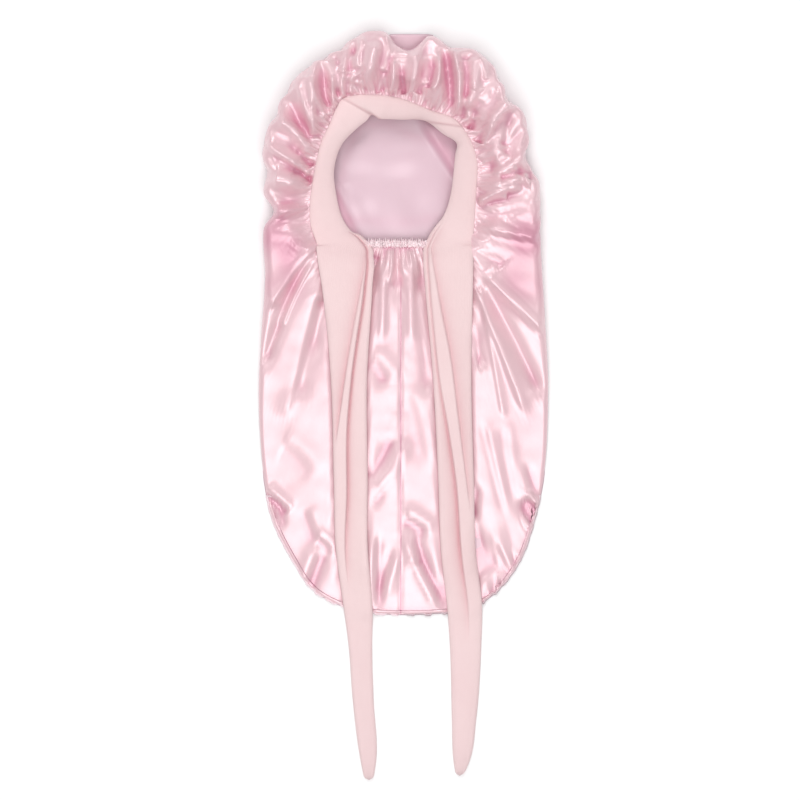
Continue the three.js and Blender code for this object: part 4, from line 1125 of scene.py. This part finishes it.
def make_back():
    """The back sheet on a grid of rings from the opening's centre to the hem. It lies on the
    floor, with low swells under the opening, and its crown edge reaches past the front and
    curls up there. With it comes a painted shade: a deeper pink past each rise and along the
    band's edge, where the band shades the inside."""
    rim, hem, turn = make_spokes()
    across = hem[:, 0] / HALF_WIDTH
    start, end, reach = BACK_TOP
    rise = ramp(across, start - TOP_OVERRUN, TOP_FADE) * ramp(across, end + TOP_OVERRUN, -TOP_FADE)
    top = np.abs(turn) < TOP_TURN
    lifted = np.minimum(hem[:, 1] + BAG_LENGTH * reach * rise, CROWN_TOP - BACK_SHORT)
    hem = np.stack([hem[:, 0], np.where(top & (rise > 0), np.maximum(lifted, hem[:, 1]), hem[:, 1])], axis=1)
    low = ramp(share_along(hem[:, 1]), *SEAM_SIDE)
    ahead = np.roll(hem, -1, axis=0) - np.roll(hem, 1, axis=0)
    outward = np.stack([-ahead[:, 1], ahead[:, 0]], axis=1)
    outward = outward / np.linalg.norm(outward, axis=1, keepdims=True)
    hem = hem + outward * (SEAM_MARGIN * low - BACK_INSET * (1 - low) * (1 - rise * top))[:, None]
    share = np.linspace(0, 1, BACK_RINGS)[:, None]
    plan = CENTRE + (hem - CENTRE) * share[..., None]
    x, y = plan[..., 0], plan[..., 1]
    z = np.full(x.shape, SATIN_THICKNESS)
    for x1, y1, x2, y2, width, height in SWELLS:
        ends = np.array([(x1, y1), (x2, y2)])
        away = distance_to(ends, x, y, closed=False)
        z += height * np.exp(-((away / width) ** 2))
    from_band = distance_to(rim_loop, x, y) - BAND_WIDTH
    shade = np.zeros_like(x)
    for *ends, height in RISES:
        run, right = beside_line(x, y, *ends)
        reach = ramp(run, -RISE_OVERRUN, RISE_END) * ramp(run, 1 + RISE_OVERRUN, -RISE_END)
        z += height * reach * smooth(right / RISE_WIDTH) * ramp(right, *RISE_FAR)
        # Painted shade: deeper pink past the rise, under the band.
        shade += RISE_SHADE * reach * smooth(right / RISE_SHADE_WIDTH)
    z += BACK_RUMPLE * (1 + soft_noise(x, y, 0.05, 12)) * smooth((1 - share) / 0.2)
    edge = np.clip(1 - (1 - share) * np.linalg.norm(hem - CENTRE, axis=1) / CURL_REACH, 0, 1)
    z = np.maximum(z, SATIN_THICKNESS) + BACK_CURL * rise * top * edge**1.5
    # Painted shade along the band's edge.
    shade = shade + RIM_SHADE * ramp(np.abs(from_band), *RIM_SHADE_EDGE)
    upper = np.concatenate([plan, z[..., None]], axis=-1)
    under = upper[::-1] - np.array([0, 0, SATIN_THICKNESS - BACK_LIFT])
    under[..., 2] = np.maximum(under[..., 2], BACK_LIFT)
    skin = np.concatenate([upper, under])
    return skin, np.concatenate([np.clip(shade, 0, 1), np.zeros(shade.shape)])


def make_nape_frill():
    """The elastic's casing: an oval tube across the nape. Irregular pleats swell and pinch
    the oval, its upper edge waves as a small frill, and fine tufts roughen its top."""
    rng = np.random.default_rng(21)
    share = np.linspace(0, 1, FRILL_STATIONS)
    wander = np.cumsum(rng.uniform(0.5, 1.5, FRILL_STATIONS))
    pleat = 0.5 * np.sin(2 * np.pi * wander / 8) + 0.35 * np.sin(2 * np.pi * wander / 13 + 2)
    pleat = pleat + 0.35 * np.sin(2 * np.pi * wander / 31 + 1)
    angle = np.linspace(0, 2 * np.pi, FRILL_SIDES, endpoint=False)
    x = CENTRE[0] + (share - 0.5) * (NAPE_WIDTH + FRILL_PAST)
    end = np.sqrt(np.clip(1 - np.abs(2 * share - 1) ** 12, 0.02, 1))
    up = np.clip(np.cos(angle), 0, 1) ** 2
    upper_edge = 1 + FRILL_EDGE * up * (1 + FRILL_EDGE_PLEAT * pleat[:, None])
    reach = CASING_DEPTH / 2 * (1 + FRILL_PLEAT * pleat)[:, None] * upper_edge
    rise = CASING_THICKNESS / 2 * (1 + FRILL_SWELL * pleat)[:, None]
    rest = CENTRE[1] - NAPE_DROP + FRILL_REST * CASING_DEPTH
    y = rest + FRILL_SHARE * reach * np.cos(angle) * end[:, None]
    seat = SEAT_HEIGHT * SEAT[4, 1]
    z = seat + rise * np.sin(angle) * end[:, None] + FRILL_WAVE * np.outer(pleat, np.cos(angle) ** 3)
    x = np.broadcast_to(x[:, None], y.shape)
    z = z + FRILL_TUFT * soft_noise(x, y, 0.0018, 41) * np.clip(np.sin(angle), 0, 1)
    y = y + FRILL_TUFT * soft_noise(x, z, 0.0022, 43) * end[:, None]
    return np.stack([x, y, z], axis=-1)


def make_hem_seam():
    """The overlocked seam: a small flattened roll carried round the lower hem, waving in and
    out and up and down as the tight thread draws it in."""
    along = share_along(outline[:, 1])
    first = np.argmax(along > SEAM_FROM)
    path = np.roll(outline, len(outline) - first, axis=0)
    path = path[share_along(path[:, 1]) > SEAM_FROM]
    run = length_along(path)
    at = np.linspace(0, run[-1], SEAM_STATIONS)
    path = path_at(path, run, at)
    ahead = np.gradient(path, axis=0)
    ahead = ahead / np.linalg.norm(ahead, axis=1, keepdims=True)
    side = np.stack([-ahead[:, 1], ahead[:, 0]], axis=1)
    rng = np.random.default_rng(5)
    wander = at + 0.004 * np.cumsum(rng.normal(0, 0.12, SEAM_STATIONS))
    long, short = SEAM_WAVES
    wave = np.sin(2 * np.pi * wander / long) + 0.5 * np.sin(2 * np.pi * wander / short)
    low = ramp(share_along(path[:, 1]), *SEAM_TIGHT)
    path = path + side * (SEAM_WAVE * (0.4 + 1.2 * low) * wave)[:, None]
    angle = np.linspace(0, 2 * np.pi, SEAM_SIDES, endpoint=False)
    stitch = 1 + STITCH_SHARE * np.sin(2 * np.pi * at / STITCH)
    end = np.sqrt(np.clip(1 - np.abs(2 * at / at[-1] - 1) ** 60, 0.01, 1))
    wide = SEAM_WIDTH / 2 * stitch * end
    plan = path[:, None] + side[:, None] * (wide[:, None] * np.cos(angle))[..., None]
    ripple = SEAM_RIPPLE * wave[:, None] * low[:, None]
    z = SEAM_HEIGHT + ripple + SEAM_THICKNESS / 2 * (end * stitch)[:, None] * np.sin(angle)
    return np.concatenate([plan, np.maximum(z, BACK_LIFT)[..., None]], axis=-1)


def plain(name, colour, rough):
    """A material of one colour and one roughness."""
    material = bpy.data.materials.new(name)
    material.use_nodes = True
    shader = material.node_tree.nodes["Principled BSDF"]
    shader.inputs["Base Color"].default_value = (*colour, 1)
    shader.inputs["Roughness"].default_value = rough
    return material


def node(tree, kind, inputs=None, **settings):
    """A new shader node with its settings, and with the values or links of its inputs."""
    new = tree.nodes.new("ShaderNode" + kind)
    for key, value in settings.items():
        setattr(new, key, value)
    for key, value in (inputs or {}).items():
        if isinstance(value, bpy.types.NodeSocket):
            tree.links.new(value, new.inputs[key])
        else:
            new.inputs[key].default_value = value
    return new


def noise_at(tree, vector, scale, detail=2.0):
    """Noise from about 0 to 1, its scale in ripples a metre along each axis."""
    placed = node(tree, "Mapping", {"Vector": vector, "Scale": scale}).outputs["Vector"]
    return node(tree, "TexNoise", {"Vector": placed, "Scale": 1.0, "Detail": detail}).outputs["Fac"]


def bands_at(tree, vector, axis, period):
    """Even sine bands across one axis of the cloth, with their period in metres."""
    scale = 2 * np.pi / (20 * period)
    return node(tree, "TexWave", {"Vector": vector, "Scale": scale}, bands_direction=axis).outputs["Fac"]


def total(tree, parts):
    """The sum of sockets, each times its own share."""
    so_far = 0.0
    for socket, share in parts:
        inputs = {0: socket, 1: share, 2: so_far}
        so_far = node(tree, "Math", inputs, operation="MULTIPLY_ADD").outputs["Value"]
    return so_far


def finish_cloth(material, shade, colours, rough, rough_part, height, depth):
    """Links a cloth's nodes to its shader: colour from a ramp over shade, roughness about
    its middle value, and a bump of true depth in metres."""
    tree = material.node_tree
    shader = tree.nodes["Principled BSDF"]
    ramp = node(tree, "ValToRGB", {"Fac": shade})
    for k, (at, colour) in enumerate(colours):
        stop = ramp.color_ramp.elements[k] if k < 2 else ramp.color_ramp.elements.new(at)
        stop.position = at
        stop.color = (*colour, 1)
    tree.links.new(ramp.outputs["Color"], shader.inputs["Base Color"])
    limits = {"Value": rough_part, "To Min": rough[0], "To Max": rough[1]}
    tree.links.new(node(tree, "MapRange", limits).outputs["Result"], shader.inputs["Roughness"])
    bump = node(tree, "Bump", {"Height": height, "Distance": depth, "Strength": 1.0})
    tree.links.new(bump.outputs["Normal"], shader.inputs["Normal"])
    return material


def satin(name, light, deep, rough, gloss):
    """Satin: fine warp threads along the cloth, a weft that crosses them, broad changes of
    tone, painted shade as a deeper pink where the piece's shade attribute asks for it, stitched
    lines, and faint ripples from handling."""
    material = plain(name, light, rough)
    tree = material.node_tree
    cloth = node(tree, "UVMap", uv_map="cloth").outputs["UV"]
    body = node(tree, "TexCoord").outputs["Object"]
    painted_shade = node(tree, "Attribute", attribute_name="painted_shade").outputs["Fac"]
    seam = node(tree, "Attribute", attribute_name="seam").outputs["Fac"]
    warp = noise_at(tree, cloth, (5200, 260, 1))
    weft = noise_at(tree, cloth, (330, 3900, 1))
    broad = noise_at(tree, body, (11, 11, 11), 3.0)
    ripple = noise_at(tree, cloth, (95, 34, 1), 1.0)
    worn = noise_at(tree, body, (60, 60, 60), 4.0)
    centre = node(tree, "Attribute", attribute_name="centre").outputs["Fac"]
    x = node(tree, "SeparateXYZ", {"Vector": body}).outputs["X"]
    off = node(tree, "Math", {0: x, 1: SEAM_X, 2: LINE_REACH}, operation="COMPARE").outputs["Value"]
    line = node(tree, "Math", {0: off, 1: centre}, operation="MULTIPLY").outputs["Value"]
    bands = bands_at(tree, cloth, "Y", STITCH)
    stitch = node(tree, "Math", {0: seam, 1: bands}, operation="MULTIPLY").outputs["Value"]
    # Painted shade from the piece's attribute: deeper pink in valleys and on the sagging sides, and on the
    # inside where the band shades it.
    tones = [(painted_shade, 0.7), (broad, 0.22), (warp, 0.08), (seam, 0.3), (stitch, 0.2), (line, 0.75)]
    shade = total(tree, tones + [(worn, 0.06)])
    heights = [(warp, 0.10), (weft, 0.05), (ripple, 0.3), (seam, -0.8), (stitch, 0.6), (line, -1.0)]
    height = total(tree, heights)
    colours = [(0.1, light), (1.0, deep)]
    finish_cloth(material, shade, colours, (rough - 0.06, rough + 0.08), worn, height, 0.00028)
    shader = tree.nodes["Principled BSDF"]
    shader.inputs["Metallic"].default_value = gloss
    shader.inputs["IOR"].default_value = SATIN_IOR
    shader.inputs["Coat Weight"].default_value = SATIN_COAT
    shader.inputs["Coat Roughness"].default_value = 0.2
    return material


def knit_cloth(name, light, deep):
    """Fine jersey: wales along the strip, courses across them, a soft fuzz, slow changes of
    tone, and painted shade: a deeper tone down the grooves and along the folds."""
    material = plain(name, light, 0.85)
    tree = material.node_tree
    cloth = node(tree, "UVMap", uv_map="cloth").outputs["UV"]
    body = node(tree, "TexCoord").outputs["Object"]
    fold_shade = node(tree, "Attribute", attribute_name="fold_shade").outputs["Fac"]
    wales = bands_at(tree, cloth, "X", 0.00125)
    courses = bands_at(tree, cloth, "Y", 0.0009)
    fuzz = noise_at(tree, cloth, (1500, 700, 1), 3.0)
    broad = noise_at(tree, body, (14, 14, 14), 3.0)
    worn = noise_at(tree, body, (90, 90, 90), 2.0)
    # Painted shade from the strip's attribute: deeper pink down the grooves and along the fold-over edges.
    shade = total(tree, [(fold_shade, 0.8), (broad, 0.2), (fuzz, 0.12), (wales, -0.05), (worn, 0.06)])
    height = total(tree, [(wales, 0.5), (courses, 0.25), (fuzz, 0.5), (worn, 0.8)])
    finish_cloth(material, shade, [(0.1, light), (1.0, deep)], (0.78, 0.94), worn, height, 0.00022)
    shader = tree.nodes["Principled BSDF"]
    shader.inputs["Sheen Weight"].default_value = 0.25
    shader.inputs["Sheen Roughness"].default_value = 0.4
    return material


def overlock(name, light, deep):
    """The overlocked edge: slanting loops of thread round the roll, over satin."""
    material = plain(name, light, 0.6)
    tree = material.node_tree
    cloth = node(tree, "UVMap", uv_map="cloth").outputs["UV"]
    body = node(tree, "TexCoord").outputs["Object"]
    turned = node(tree, "Mapping", {"Vector": cloth, "Rotation": (0, 0, 0.5)}).outputs["Vector"]
    loops = bands_at(tree, turned, "Y", 0.0016)
    fuzz = noise_at(tree, cloth, (2500, 2500, 1), 2.0)
    broad = noise_at(tree, body, (40, 40, 40), 2.0)
    shade = total(tree, [(loops, -0.4), (fuzz, 0.3), (broad, 0.5)])
    height = total(tree, [(loops, 1.0), (fuzz, 0.3)])
    return finish_cloth(material, shade, [(0.0, light), (1.0, deep)], (0.5, 0.75), fuzz, height, 0.0003)


def add_piece(name, points, replaced, material, closed, uv=None, attributes=None):
    """Makes a piece from its grid and gives it its finish and its place in the frame."""
    uv = cloth_uv(points, True) if uv is None else uv
    piece = mesh_piece(name, points, around=True, uv=uv, attributes=attributes)
    if closed:
        close_up(piece)
    piece.data.materials.append(material)
    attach(piece, "root")
    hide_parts(*replaced)
    return piece


front = make_front_points()
# Painted shade for the front: deeper pink in its valleys and on the sagging sides; with it the stitched lines
# of the seams.
front_shade_and_seams = {"painted_shade": np.clip(valleys(front, True) + sagging_side_shade(front), 0, 1), **seam_marks(front)}
front_satin = add_piece("front_satin", front, ["front_panel"],
                        satin("gathered_satin", SATIN_PINK, SHADE_AND_SEAM_PINK, 0.36, 0.15), False,
                        attributes=front_shade_and_seams)
# The knit strip and its painted shade.
strip, fold_shade = make_strip(height_map(front))
knit_band = add_piece("knit_band_and_ties", strip, ["headband", "tie_left", "tie_right"],
                      knit_cloth("jersey_knit", KNIT_PINK, KNIT_SHADE_PINK), True, attributes={"fold_shade": fold_shade})
back, shade = make_back()
back_satin = add_piece("back_satin", back, ["back_panel"],
                       satin("smooth_satin", INSIDE_PINK, INSIDE_SHADE_PINK, 0.5, 0.1), True,
                       plan_uv(back), {"painted_shade": shade})
frill = closed_ends(make_nape_frill())
nape_frill = add_piece("nape_frill", frill, ["nape_elastic"],
                       satin("frilled_satin", FRILL_PINK, SHADE_AND_SEAM_PINK, 0.36, 0.15), True)
seam = closed_ends(make_hem_seam())
hem_seam = add_piece("hem_seam", seam, ["edge_seam"],
                     overlock("overlock_thread", THREAD_PINK, THREAD_DEEP), True)

bpy.ops.mesh.primitive_plane_add(size=FLOOR_SIZE)
floor = bpy.context.object
floor.name = "floor"
floor.data.materials.append(plain("floor", FLOOR_WHITE, 0.9))
world = bpy.data.worlds.new("studio")
bpy.context.scene.world = world
world.use_nodes = True
world.node_tree.nodes["Background"].inputs["Color"].default_value = (1, 1, 1, 1)
world.node_tree.nodes["Background"].inputs["Strength"].default_value = WORLD_STRENGTH
bpy.context.scene.view_settings.view_transform = "Standard"
for where, size, power in SOFTBOXES:
    lamp = bpy.data.lights.new("softbox", "AREA")
    lamp.shape = "SQUARE"
    lamp.size = size
    lamp.energy = power
    holder = bpy.data.objects.new("softbox", lamp)
    holder.location = where
    holder.rotation_euler = (-Vector(where)).to_track_quat("-Z", "Y").to_euler()
    bpy.context.scene.collection.objects.link(holder)
camera = bpy.data.objects.new("camera", bpy.data.cameras.new("camera"))
camera.location = CAMERA_PLACE
camera.data.lens = SENSOR_WIDTH * (CAMERA_PLACE[2] - VIEW_HEIGHT) / VIEW_WIDTH
camera.data.sensor_width = SENSOR_WIDTH
bpy.context.scene.collection.objects.link(camera)
bpy.context.scene.camera = camera
